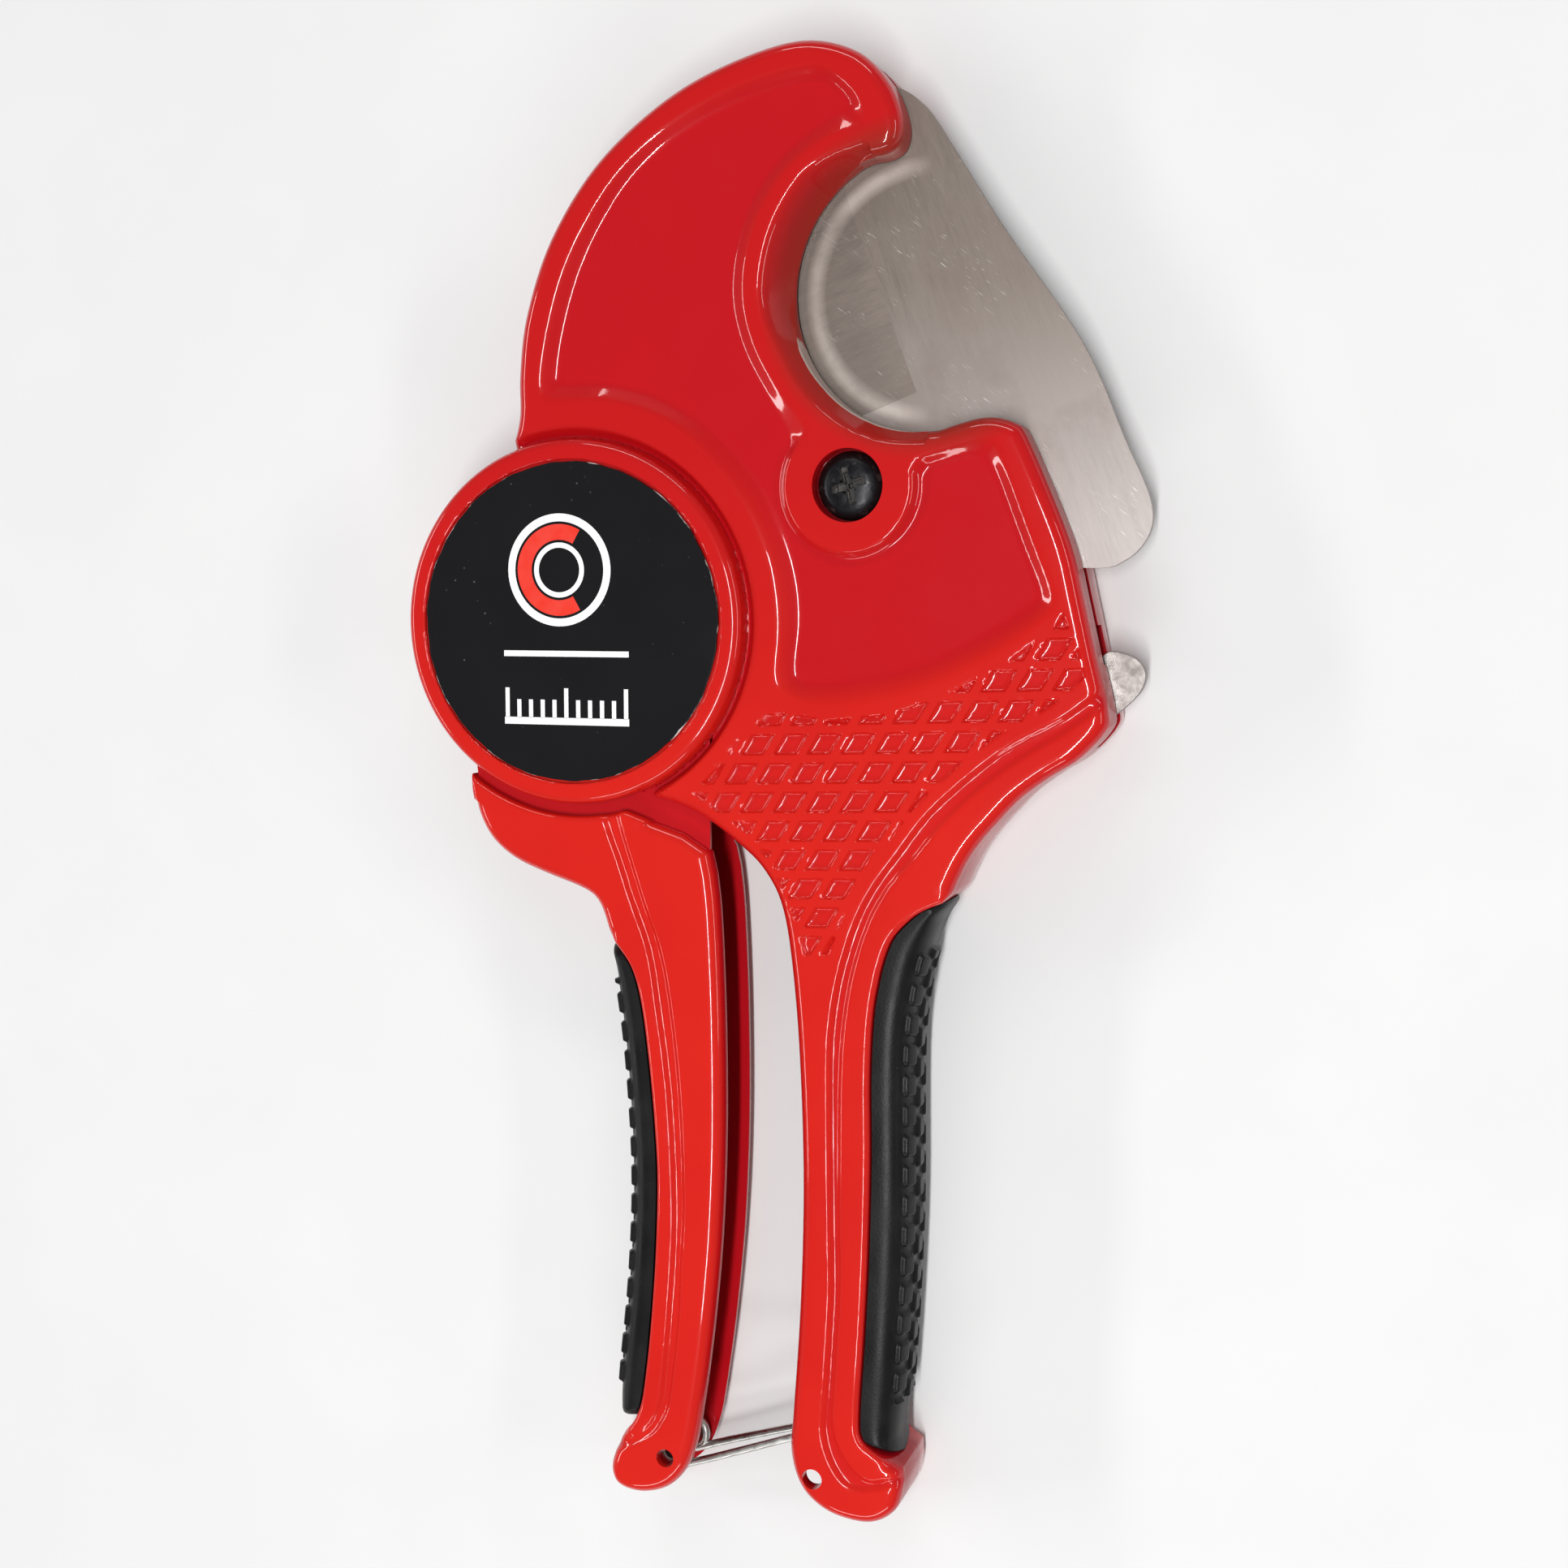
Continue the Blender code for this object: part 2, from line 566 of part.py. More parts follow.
RIVETS = (("ratchet_rivet_left", 215.0), ("ratchet_rivet_right", -35.0))


def ratchet_plate(parts, cutters, pivot, look):
    """Toothed plate behind the blade, riveted to it."""
    plate = prism("ratchet_plate", [ratchet_outline()], RATCHET_BOTTOM, RATCHET_TOP, parts, pivot)
    combine(plate, cylinder("cut_ratchet_bore", BLADE_PIVOT, BUSHING_RADIUS + GAP, -5.0, 5.0, cutters,
                            pivot), "DIFFERENCE")
    for name, angle in RIVETS:
        combine(plate, cylinder("cut_plate_" + name, polar(BLADE_PIVOT, RIVET_REACH, angle),
                                RIVET_RADIUS + GAP, -5.0, 5.0, cutters, pivot, 20), "DIFFERENCE")
    return finish(plate, look)


def ratchet_rivets(parts, pivot, look):
    for name, angle in RIVETS:
        finish(cylinder(name, polar(BLADE_PIVOT, RIVET_REACH, angle), RIVET_RADIUS,
                        RATCHET_BOTTOM + 0.05, BLADE_HALF - 0.05, parts, pivot, 20), look)


def ring(name, centre, inner, outer, low, high, target, parent, segments=28):
    return prism(name, [circle(centre, outer, segments), circle(centre, inner, segments)], low, high,
                 target, parent)


def blade_pivot(parts, cutters, axis, looks):
    """Pan-head screw, bushing, spring washer and nut that carry the blade."""
    finish(ring("blade_bushing", BLADE_PIVOT, SCREW_RADIUS + GAP, BUSHING_RADIUS, -3.35, 1.0, parts,
                axis), looks["bronze"])
    head = [(0.0, 6.9), (2.6, 6.75), (4.2, 6.2), (SCREW_HEAD_RADIUS, 5.2), (SCREW_HEAD_RADIUS, 4.5),
            (SCREW_RADIUS, 4.5), (SCREW_RADIUS, -8.0), (2.7, -8.4), (0.0, -8.4)]
    screw = turned("blade_pivot_screw", BLADE_PIVOT, head, parts, axis)
    for name, size in (("cut_drive_x", (5.2, 1.3)), ("cut_drive_y", (1.3, 5.2))):
        outline = [(BLADE_PIVOT[0] + sx * size[0] / 2, BLADE_PIVOT[1] + sy * size[1] / 2)
                   for sx, sy in ((-1, -1), (1, -1), (1, 1), (-1, 1))]
        combine(screw, prism(name, [outline], 5.3, 9.0, cutters, axis), "DIFFERENCE")
    finish(screw, looks["oxide"])
    finish(ring("blade_pivot_washer", BLADE_PIVOT, SCREW_RADIUS + GAP, 5.6, -5.9, -5.2, parts, axis),
           looks["steel"])
    hexagon = arc(BLADE_PIVOT, 6.0, 0.0, 300.0, 5)
    finish(prism("blade_pivot_nut", [hexagon, circle(BLADE_PIVOT, SCREW_RADIUS + GAP, 28)], -8.3, -6.2,
                 parts, axis), looks["oxide"])


# ---------------------------------------------------------------- hub

def hub_pieces(parts, axis, looks):
    pin = [(0.0, 7.8), (7.7, 7.8), (8.0, 7.5), (8.0, 7.1), (PIN_RADIUS, 7.1), (PIN_RADIUS, -7.4),
           (4.2, -7.4), (4.2, -8.15), (PIN_RADIUS, -8.15), (PIN_RADIUS, -8.5), (0.0, -8.5)]
    finish(turned("handle_pivot_pin", HUB, pin, parts, axis), looks["steel"])
    clip = arc(HUB, 7.6, 25.0, 335.0, 20) + arc(HUB, 4.6, 335.0, 25.0, 20)
    finish(prism("pin_retaining_ring", [clip], -7.95, -7.6, parts, axis), looks["steel"])
    low = HUB_FRONT - LABEL_THICKNESS
    finish(cylinder("hub_label", HUB, LABEL_RADIUS, low, HUB_FRONT, parts, axis, 48), looks["label"])


def torsion_spring(name, centre, radius, wire_radius, turns, low, start, legs, parts, parent, look):
    """A coil about Z that leaves along a tangent at each end."""
    pitch = 2 * wire_radius + 0.12
    count = int(turns * 12)
    coil = []
    for i in range(count + 1):
        share = i / count
        x, y = polar(centre, radius, start + 360.0 * turns * share)
        coil.append((x, y, low + wire_radius + pitch * turns * share))
    first = polar(coil[0][:2], legs[0], start - 90.0)
    last = polar(coil[-1][:2], legs[1], start + 360.0 * turns + 90.0)
    path = [(first[0], first[1], coil[0][2])] + coil + [(last[0], last[1], coil[-1][2])]
    return finish(wire(name, path, wire_radius, parts, parent, 1), look)


# ---------------------------------------------------------------- pawls

def drive_pawl(parts, cutters, pivot, looks):
    """The arm on the moving handle that pushes the ratchet round."""
    tip = polar(BLADE_PIVOT, TOOTH_TIP + TIP_CLEARANCE + 0.7, PAWL_CONTACT)
    outline = strut(PAWL_PIVOT, tip, 3.6, 1.7, 0.6)
    pawl = prism("drive_pawl", [outline], PAWL_BOTTOM, PAWL_TOP, parts, pivot)
    combine(pawl, cylinder("cut_pawl_bore", PAWL_PIVOT, PAWL_PIN_RADIUS + GAP, -9.0, 9.0, cutters,
                           pivot, 28), "DIFFERENCE")
    finish(pawl, looks["steel"])


def drive_pawl_hinge(parts, handle, looks):
    finish(cylinder("drive_pawl_pin", PAWL_PIVOT, PAWL_PIN_RADIUS, -HEAD_HALF, HEAD_HALF, parts,
                    handle, 28), looks["steel"])
    torsion_spring("drive_pawl_spring", PAWL_PIVOT, 2.75, 0.35, 2.5, -0.9, 200.0, (2.0, 2.5), parts,
                   handle, looks["steel"])


def release_lever(parts, cutters, pivot, looks):
    """Holding pawl with a thumb tab that stands out of the frame's right side."""
    nose = polar(BLADE_PIVOT, TOOTH_TIP + TIP_CLEARANCE, LEVER_CONTACT)
    knots = [(nose[0] + 0.2, nose[1] - 0.3), (64.0, -3.9), (70.0, -5.6), (76.0, -6.4), (79.4, -5.6),
             (81.4, -3.9), (84.9, -4.7), (86.5, -6.4), (86.6, -8.2), (85.6, -10.2), (82.6, -13.0),
             (79.0, -14.9), (74.0, -15.4), (69.0, -13.6), (63.0, -8.6), (nose[0] - 0.4, nose[1] - 2.6)]
    lever = prism("release_lever", [smooth(knots, 3)], PAWL_BOTTOM, PAWL_TOP, parts, pivot)
    combine(lever, cylinder("cut_lever_bore", LEVER_PIVOT, LEVER_PIN_RADIUS + GAP, -9.0, 9.0, cutters,
                            pivot, 28), "DIFFERENCE")
    finish(lever, looks["steel"])


def release_lever_hinge(parts, axis, looks):
    finish(cylinder("release_lever_pin", LEVER_PIVOT, LEVER_PIN_RADIUS, -7.7, PAWL_TOP - 0.05, parts,
                    axis, 28), looks["steel"])
    torsion_spring("release_lever_spring", LEVER_PIVOT, 2.8, 0.35, 2.5, -6.1, 100.0, (1.2, 1.2),
                   parts, axis, looks["steel"])


# ---------------------------------------------------------------- latch

def latch_wire(parts, pivot, look):
    """One wire: an eye round the spacer, out to the bail behind the catch, and back."""
    end = (CATCH_X + 3.0, -124.6)
    reach = math.hypot(end[0] - LATCH_PIVOT[0], end[1] - LATCH_PIVOT[1])
    aim = math.degrees(math.atan2(end[1] - LATCH_PIVOT[1], end[0] - LATCH_PIVOT[0]))
    leave = aim - math.degrees(math.acos(WIRE_EYE / reach))
    near = [polar(LATCH_PIVOT, WIRE_EYE, leave + 290.0 - 290.0 * i / 14) for i in range(15)]
    start = near[-1]
    half = [(x, y, WIRE_SPREAD) for x, y in near]
    straight = 0.9
    for i in range(1, 5):
        share = straight * i / 4
        spread = WIRE_SPREAD + (BAIL_HALF - WIRE_SPREAD) * max(0.0, (share - 0.2) / 0.7)
        half.append((start[0] + (end[0] - start[0]) * share,
                     start[1] + (end[1] - start[1]) * share, spread))
    bend = []
    for i in range(1, 8):
        turn = math.pi * i / 8
        share = straight + (1.0 - straight) * math.sin(turn)
        bend.append((start[0] + (end[0] - start[0]) * share,
                     start[1] + (end[1] - start[1]) * share, BAIL_HALF * math.cos(turn)))
    mirrored = [(x, y, -z) for x, y, z in reversed(half)]
    return finish(wire("latch_wire", half + bend + mirrored, WIRE_RADIUS, parts, pivot), look)


def latch_spacer(parts, handle, look):
    """Tube across the end of the moving handle that the wire's eyes turn on."""
    finish(ring("latch_spacer", LATCH_PIVOT, SPACER_BORE, SPACER_RADIUS, -CHANNEL_HALF + GAP,
                CHANNEL_HALF - GAP, parts, handle, 28), look)


# ---------------------------------------------------------------- assembly

def pivot_empty(name, centre, parent):
    """An empty on a joint's axis."""
    obj = bpy.data.objects.new(name, None)
    bpy.context.scene.collection.objects.link(obj)
    obj.parent = parent
    obj.location = (centre[0] * MM, centre[1] * MM, 0.0)
    return obj


def main():
    clear_scene()
    parts = collection("pipe_cutter")
    cutters = collection("cutters")
    axis = pivot_empty("hub_axis", (-CENTRE_X, -CENTRE_Y), None)
    axis.location.z = -BACK * MM
    handle = pivot_empty("handle_axis", HUB, axis)
    blade_axis = pivot_empty("blade_axis", BLADE_PIVOT, axis)
    pawl_axis = pivot_empty("pawl_axis", PAWL_PIVOT, axis)
    lever_axis = pivot_empty("lever_axis", LEVER_PIVOT, axis)
    latch_axis = pivot_empty("latch_axis", LATCH_PIVOT, axis)
    red = material("red_paint", RED, 0.22, 0.0)
    rubber = material("rubber", RUBBER, 0.55, 0.0)
    looks = {
        "steel": material("bright_steel", BRIGHT_STEEL, 0.3, 1.0),
        "oxide": material("black_oxide", BLACK_OXIDE, 0.35, 0.6),
        "bronze": material("bronze", BRONZE, 0.4, 1.0),
        "label": material("label_film", LABEL_BLACK, 0.35, 0.0),
    }
    frame_casting(parts, cutters, axis, red)
    moving_handle(parts, cutters, handle, red)
    fixed_grip(parts, cutters, axis, rubber)
    moving_grip(parts, cutters, handle, rubber)
    blade(parts, cutters, blade_axis, material("blade_steel", BLADE_STEEL, 0.32, 1.0))
    ratchet_plate(parts, cutters, blade_axis, looks["steel"])
    ratchet_rivets(parts, blade_axis, looks["steel"])
    blade_pivot(parts, cutters, axis, looks)
    hub_pieces(parts, axis, looks)
    torsion_spring("handle_return_spring", HUB, 7.4, 0.7, 3.0, -3.0, 20.0, (8.0, 2.0), parts, axis,
                   looks["steel"])
    drive_pawl(parts, cutters, pawl_axis, looks)
    drive_pawl_hinge(parts, handle, looks)
    release_lever(parts, cutters, lever_axis, looks)
    release_lever_hinge(parts, axis, looks)
    latch_wire(parts, latch_axis, looks["steel"])
    latch_spacer(parts, handle, looks["steel"])


main()
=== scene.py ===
"""Looks of the ratcheting plastic-pipe cutter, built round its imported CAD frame.

Shapes are worked out in millimetres about the hub axis, with heights about the blade's middle
plane: +X is across the tool towards the blade, +Y along it towards the hook, +Z towards the label.
"""
import json
import math

import bmesh
import bpy
import numpy as np
from mathutils import Matrix, Vector
from mathutils.geometry import delaunay_2d_cdt


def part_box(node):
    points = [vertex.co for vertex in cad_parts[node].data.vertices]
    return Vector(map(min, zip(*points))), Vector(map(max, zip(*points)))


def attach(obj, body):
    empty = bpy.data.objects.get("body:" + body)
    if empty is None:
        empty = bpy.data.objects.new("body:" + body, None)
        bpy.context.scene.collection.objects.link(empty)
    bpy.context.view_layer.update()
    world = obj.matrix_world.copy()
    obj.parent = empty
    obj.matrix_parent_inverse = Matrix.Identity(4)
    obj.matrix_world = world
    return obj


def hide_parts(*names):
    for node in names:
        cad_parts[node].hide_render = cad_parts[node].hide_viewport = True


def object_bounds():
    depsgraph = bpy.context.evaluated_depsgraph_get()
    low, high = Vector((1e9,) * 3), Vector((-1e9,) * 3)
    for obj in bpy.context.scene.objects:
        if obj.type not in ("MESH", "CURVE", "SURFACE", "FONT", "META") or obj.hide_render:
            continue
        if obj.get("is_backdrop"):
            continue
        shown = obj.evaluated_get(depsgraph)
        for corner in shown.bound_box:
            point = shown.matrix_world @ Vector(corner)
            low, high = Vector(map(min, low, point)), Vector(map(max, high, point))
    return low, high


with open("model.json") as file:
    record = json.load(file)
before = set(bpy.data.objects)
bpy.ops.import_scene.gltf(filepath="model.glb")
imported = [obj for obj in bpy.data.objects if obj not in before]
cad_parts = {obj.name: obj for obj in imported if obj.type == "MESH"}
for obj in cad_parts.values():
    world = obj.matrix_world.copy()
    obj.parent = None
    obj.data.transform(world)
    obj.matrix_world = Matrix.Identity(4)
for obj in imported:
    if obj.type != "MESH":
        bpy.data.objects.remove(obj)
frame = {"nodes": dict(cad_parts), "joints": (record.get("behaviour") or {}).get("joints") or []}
CAD_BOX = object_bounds()

MM = 0.001
GAP = 0.3
HINGES = {joint["name"]: Vector(joint["pos_m"]) for joint in frame["joints"]}
AXIS = HINGES["handle_swing"]


def about_hub(hinge):
    """A hinge's place in millimetres about the hub axis."""
    place = (HINGES[hinge] - AXIS) / MM
    return place.x, place.y


def level(node, end):
    """A node's lowest (0) or highest (1) point above the blade's middle plane."""
    return (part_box(node)[end].z - AXIS.z) / MM


HUB = (0.0, 0.0)
BLADE_PIVOT = about_hub("blade_swing")
LEVER_PIVOT = about_hub("release_lever_press")
PAWL_PIVOT = about_hub("drive_pawl_swing")
LATCH_PIVOT = about_hub("latch_swing")
LANYARD = (38.9, -131.4)
JAW = (55.0, 48.4)

# Heights
BACK = level("frame_casting", 0)
HUB_FRONT = level("frame_casting", 1)
BODY_FRONT = 7.2
HANDLE_HALF = level("moving_handle", 1)
BLADE_HALF = level("blade", 1)
HEAD_HALF = 5.6
CAVITY_HALF = 5.9
CHANNEL_HALF = 4.9
HEAD_POCKET_HALF = 3.4
SLOT_HALF = 1.1
POCKET_BOTTOM = -3.5
PANEL_DEPTH = 1.3
BACK_PANEL_DEPTH = 0.9
BOSS_FRONT = 7.8
BOSS_STEP = 0.6
HUB_DITCH_DEPTH = 1.45
BACK_HUB_DITCH_DEPTH = 0.6
JAW_SLOPE_DEPTH = 5.4
BACK_JAW_SLOPE_DEPTH = 3.6
GROOVE_DEPTH = 0.6
BACK_GROOVE_DEPTH = 0.5
MOVING_GROOVE_DEPTH = 0.55
THROUGH = 20.0

# Radii
HUB_RADIUS = 28.0
HUB_RIM = 1.6
CAVITY_RADIUS = 22.0
HEAD_RADIUS = 21.5
STEP_RADIUS = 30.0
PIN_RADIUS = 5.0
LABEL_RADIUS = 24.5
LABEL_RECESS = 0.7
JAW_RADIUS = 20.64
JAW_SLOPE_START = 112.0
JAW_SLOPE_END = 272.0
JAW_SLOPE_FADE = 26.0
JAW_SLOPE_WIDTH = 4.4
BACK_JAW_SLOPE_WIDTH = 3.2
BOSS_RADIUS = 9.4
PIN_HEAD_RECESS = 8.3
TOOTH_TIP = 26.0
SLOT_REACH = 61.0
HEEL_REACH = 45.2
SCREW_RADIUS = 3.2
SCREW_HEAD_RADIUS = 5.1
BUSHING_RADIUS = 5.0
RIVET_RADIUS = 1.4
RIVET_REACH = 8.2
PAWL_PIN_RADIUS = 1.8
LEVER_PIN_RADIUS = 1.6
SPACER_BORE = 1.45
LANYARD_RADIUS = 1.6
EDGE_ROUND = 2.2
GRIP_SIDE_ROUND = 1.0

# Blade facet
BEVEL_CORNER = (52.8, 33.9)
BEVEL_ANGLE = 110.85
BEVEL_WIDTH = 14.5
BEVEL_LENGTH = 60.0
EDGE_HALF = 0.1
FACET_CUTTER_REACH = 30.0
FACET_CUTTER_TOP = 4.0

# Latch wire
WIRE_RADIUS = 0.6
WIRE_EYE = 2.8
WIRE_SPREAD = 3.5
BAIL_HALF = 2.2
WIRE_EYE_TURN = 290.0
CATCH_X = 38.4


# ---------------------------------------------------------------- plane geometry

def polar(centre, radius, degrees):
    angle = math.radians(degrees)
    return centre[0] + radius * math.cos(angle), centre[1] + radius * math.sin(angle)


def arc(centre, radius, start, end, steps):
    """Points along an arc, both ends included."""
    return [polar(centre, radius, start + (end - start) * i / steps) for i in range(steps + 1)]


def circle(centre, radius, steps):
    return arc(centre, radius, 0.0, 360.0, steps)[:-1]


def rectangle(x, y, width, height):
    return [(x - width / 2, y - height / 2), (x + width / 2, y - height / 2),
            (x + width / 2, y + height / 2), (x - width / 2, y + height / 2)]


def smooth(knots, steps=6):
    """A curve through the knots (Catmull-Rom), ending on the first and last ones."""
    padded = [knots[0]] + list(knots) + [knots[-1]]
    points = []
    for i in range(len(knots) - 1):
        a, b, c, d = (Vector(p) for p in padded[i:i + 4])
        for k in range(steps):
            t = k / steps
            point = 0.5 * (2 * b + (c - a) * t + (2 * a - 5 * b + 4 * c - d) * t * t
                           + (3 * b - a - 3 * c + d) * t ** 3)
            points.append(tuple(point))
    points.append(tuple(knots[-1]))
    return points


def resample(points, spacing, closed=True):
    """Evenly spaced points along a line."""
    line = np.array(points, float)
    if closed:
        line = np.vstack([line, line[:1]])
    reach = np.concatenate([[0.0], np.cumsum(np.linalg.norm(np.diff(line, axis=0), axis=1))])
    count = max(2, int(round(reach[-1] / spacing)))
    stations = np.linspace(0.0, reach[-1], count, endpoint=not closed)
    return np.column_stack([np.interp(stations, reach, line[:, k]) for k in range(2)])


def anticlockwise(loop):
    x, y = loop[:, 0], loop[:, 1]
    area = np.sum(x * np.roll(y, -1) - np.roll(x, -1) * y)
    return loop if area > 0 else loop[::-1]


def line_distance(points, line, closed=True):
    """Distance from each point to a line."""
    starts = np.array(line, float)
    ends = np.roll(starts, -1, axis=0)
    if not closed:
        starts, ends = starts[:-1], ends[:-1]
    best = np.full(len(points), np.inf)
    for start, end in zip(starts, ends):
        along = end - start
        offset = points - start
        share = np.clip(offset @ along / max(along @ along, 1e-12), 0.0, 1.0)
        gap = np.hypot(offset[:, 0] - share * along[0], offset[:, 1] - share * along[1])
        best = np.minimum(best, gap)
    return best


def reach_from(centre, points):
    """Distance of each point from a centre."""
    return np.hypot(points[:, 0] - centre[0], points[:, 1] - centre[1])


def inside(points, loop):
    """Which points lie within a closed loop."""
    x, y = points[:, 0], points[:, 1]
    within = np.zeros(len(points), bool)
    corners = np.array(loop, float)
    for (ax, ay), (bx, by) in zip(corners, np.roll(corners, -1, axis=0)):
        if ay == by:
            continue
        crosses = (ay > y) != (by > y)
        within ^= crosses & (x < (bx - ax) * (y - ay) / (by - ay) + ax)
    return within


def depth_inside(points, loop):
    """Distance to a closed loop, negative outside it."""
    gap = line_distance(points, loop)
    return np.where(inside(points, loop), gap, -gap)


def ease(share):
    share = np.clip(share, 0.0, 1.0)
    return share * share * (3.0 - 2.0 * share)


def ramp(share, corner=0.27):
    """A straight slope from 0 to 1 with both corners rounded."""
    share = np.clip(share, 0.0, 1.0)
    folded = np.minimum(share, 1.0 - share)
    bent = folded * folded / (2.0 * corner)
    straight = folded - corner / 2.0
    half = np.where(folded < corner, bent, straight) / (1.0 - corner)
    return np.where(share < 0.5, half, 1.0 - half)


def rounding(gap, width, drop):
    """How far a rounded edge lies below its flat at a distance from the rim."""
    share = 1.0 - np.clip(gap / width, 0.0, 1.0)
    return drop * (1.0 - np.sqrt(1.0 - share * share))


# ---------------------------------------------------------------- outlines

def hook_outline():
    """Outside of the hook from the hub, over its tip, to the start of the jaw."""
    return smooth([
        (-10.9, 26.0), (-9.4, 31.5), (-9.3, 38.0), (-8.0, 47.0), (-3.8, 58.1), (3.8, 68.7),
        (14.0, 76.8), (24.4, 81.7), (36.0, 84.3), (44.4, 82.4), (49.4, 77.8), (51.7, 72.5),
        (51.5, 69.0), (49.6, 67.4), (46.4, 66.9)])


def lower_body_outline():
    """From the jaw's lip, down the right side, to where the grip starts."""
    return smooth([
        (57.5, 27.9), (60.4, 28.8), (63.4, 29.5), (66.0, 29.5), (68.7, 28.6), (70.3, 26.8),
        (74.4, 17.7), (77.2, 10.5), (78.9, 3.5), (80.6, -3.9), (82.6, -12.3), (82.2, -15.2),
        (78.5, -19.2), (74.2, -22.0), (70.1, -25.1), (66.9, -28.5), (64.0, -31.9),
        (61.9, -35.2), (60.0, -39.4)])


FIXED_GRIP_BORDER = [
    (58.7, -40.9), (55.6, -42.3), (53.4, -44.0), (51.2, -46.5), (49.9, -49.6), (48.9, -53.6),
    (48.1, -59.0), (47.7, -68.0), (47.8, -80.0), (47.5, -95.0), (46.9, -108.0), (46.2, -120.0),
    (46.6, -124.2), (49.3, -126.4)]

FIXED_GRIP_OUTSIDE = [
    (53.0, -127.6), (53.6, -120.0), (54.3, -110.0), (54.9, -98.0), (55.2, -86.0), (55.1, -70.0),
    (55.3, -62.0), (56.0, -56.0), (57.2, -50.0), (58.8, -45.2), (60.2, -41.4)]

MOVING_GRIP_BORDER = [
    (8.8, -126.7), (10.2, -123.6), (11.1, -118.4), (12.0, -110.5), (12.9, -99.0), (13.3, -87.0),
    (12.9, -78.0), (12.0, -68.0), (10.8, -59.0), (9.3, -53.6), (7.0, -50.2)]

MOVING_GRIP_OUTSIDE = [
    (4.3, -50.0), (5.4, -58.0), (6.4, -66.0), (7.1, -75.0), (7.5, -84.0), (7.4, -94.0),
    (6.6, -106.0), (5.4, -117.0), (5.0, -124.0), (5.9, -127.3)]


def fixed_handle_end():
    """Round the bottom of the fixed handle and up its inner side to the hub."""
    return smooth([
        (52.9, -128.4), (53.0, -131.2), (51.9, -135.0), (48.6, -137.4), (44.3, -137.6),
        (40.0, -136.3), (36.6, -133.2), (35.0, -128.0), (35.3, -121.7), (36.4, -105.0),
        (36.9, -86.0), (36.4, -68.0), (35.3, -53.5), (33.6, -43.0), (30.6, -37.2),
        (26.2, -33.2), (20.6, -29.4), (15.4, -27.4), (9.6, -26.5)])


def frame_outline():
    return (hook_outline() + arc(JAW, JAW_RADIUS, 119.0, 268.0, 72) + lower_body_outline()
            + smooth(FIXED_GRIP_BORDER) + fixed_handle_end() + arc(HUB, HUB_RADIUS, -73.0, -245.0, 90))


def moving_handle_outline():
    step = arc(HUB, STEP_RADIUS, 233.0, 286.0, 32) + [(13.3, -30.6), (17.8, -32.0), (22.2, -34.7)]
    side = smooth([
        (23.0, -38.2), (23.7, -45.0), (24.3, -60.0), (24.4, -78.0), (23.7, -95.0),
        (22.2, -110.5), (20.4, -123.2), (19.2, -129.2), (17.3, -133.8), (14.2, -136.9),
        (9.8, -138.2), (6.0, -137.4), (4.8, -134.8), (5.6, -131.6), (7.2, -128.4)])
    shoulder = smooth([
        (5.2, -48.1), (3.6, -43.7), (1.0, -41.6), (-5.8, -39.3), (-11.0, -37.2),
        (-14.8, -34.2), (-17.0, -30.4), (-18.0, -26.4)])
    return step + side + smooth(MOVING_GRIP_BORDER) + shoulder


# The sunk panel: its upper line, and the foot of its slope
PANEL_TOP = (
    smooth([(34.4, -10.9), (32.7, -9.4), (32.4, -6.6), (32.8, -1.8), (32.3, 4.6), (30.9, 10.6),
            (27.2, 18.2), (19.8, 26.8), (13.3, 30.9), (4.4, 33.2), (-3.6, 33.2), (-5.9, 35.0),
            (-4.9, 42.7), (-2.5, 51.4), (1.1, 58.8), (7.0, 66.8), (13.6, 72.6), (20.0, 76.2),
            (26.4, 78.6), (32.6, 80.0), (37.9, 80.6), (41.2, 79.9), (44.8, 76.9), (47.6, 72.8),
            (48.2, 71.0), (46.1, 70.2), (40.8, 69.4), (34.9, 65.3), (30.9, 59.6), (28.7, 52.6),
            (28.7, 46.2), (30.5, 40.4), (34.2, 34.4), (38.2, 29.4), (37.9, 27.2)])
    + arc(BLADE_PIVOT, 9.4, 140.0, 372.0, 40)
    + smooth([(54.4, 24.2), (57.2, 25.1), (61.1, 26.3), (64.3, 27.0), (66.6, 26.2), (67.9, 23.1),
              (69.2, 19.8), (70.9, 15.3), (73.0, 10.3), (74.8, 6.1), (75.3, 3.4), (74.6, 1.5),
              (72.3, -0.5), (67.7, -3.8), (59.2, -8.4), (50.5, -11.4), (41.6, -12.5),
              (36.9, -12.0)]))
PANEL_FOOT = (
    smooth([(37.2, -8.3), (36.3, -7.4), (36.2, -5.0), (36.9, 1.0), (36.3, 7.2), (33.8, 14.9),
            (29.6, 22.0), (22.8, 29.0), (14.8, 33.9), (6.8, 36.4), (-1.4, 36.8), (-2.3, 38.2),
            (-1.4, 43.9), (1.1, 51.9), (4.5, 58.8), (9.0, 65.2), (14.6, 69.9), (20.9, 73.4),
            (27.0, 75.9), (33.0, 77.6), (38.0, 78.4), (41.0, 77.6), (43.4, 75.4), (43.4, 74.3),
            (41.0, 73.4), (35.6, 70.0), (30.7, 65.2), (27.0, 58.3), (25.4, 49.0), (27.1, 40.9),
            (30.5, 34.0), (33.6, 28.6)])
    + arc(BLADE_PIVOT, 11.0, 146.0, 366.0, 40)
    + smooth([(56.2, 22.6), (58.6, 23.1), (61.3, 23.7), (63.2, 23.9), (64.3, 23.0),
              (65.9, 20.6), (67.7, 16.2), (69.9, 10.4), (71.9, 5.0), (71.6, 3.6),
              (67.7, 0.8), (58.9, -3.8), (50.2, -6.6), (41.6, -8.1)]))

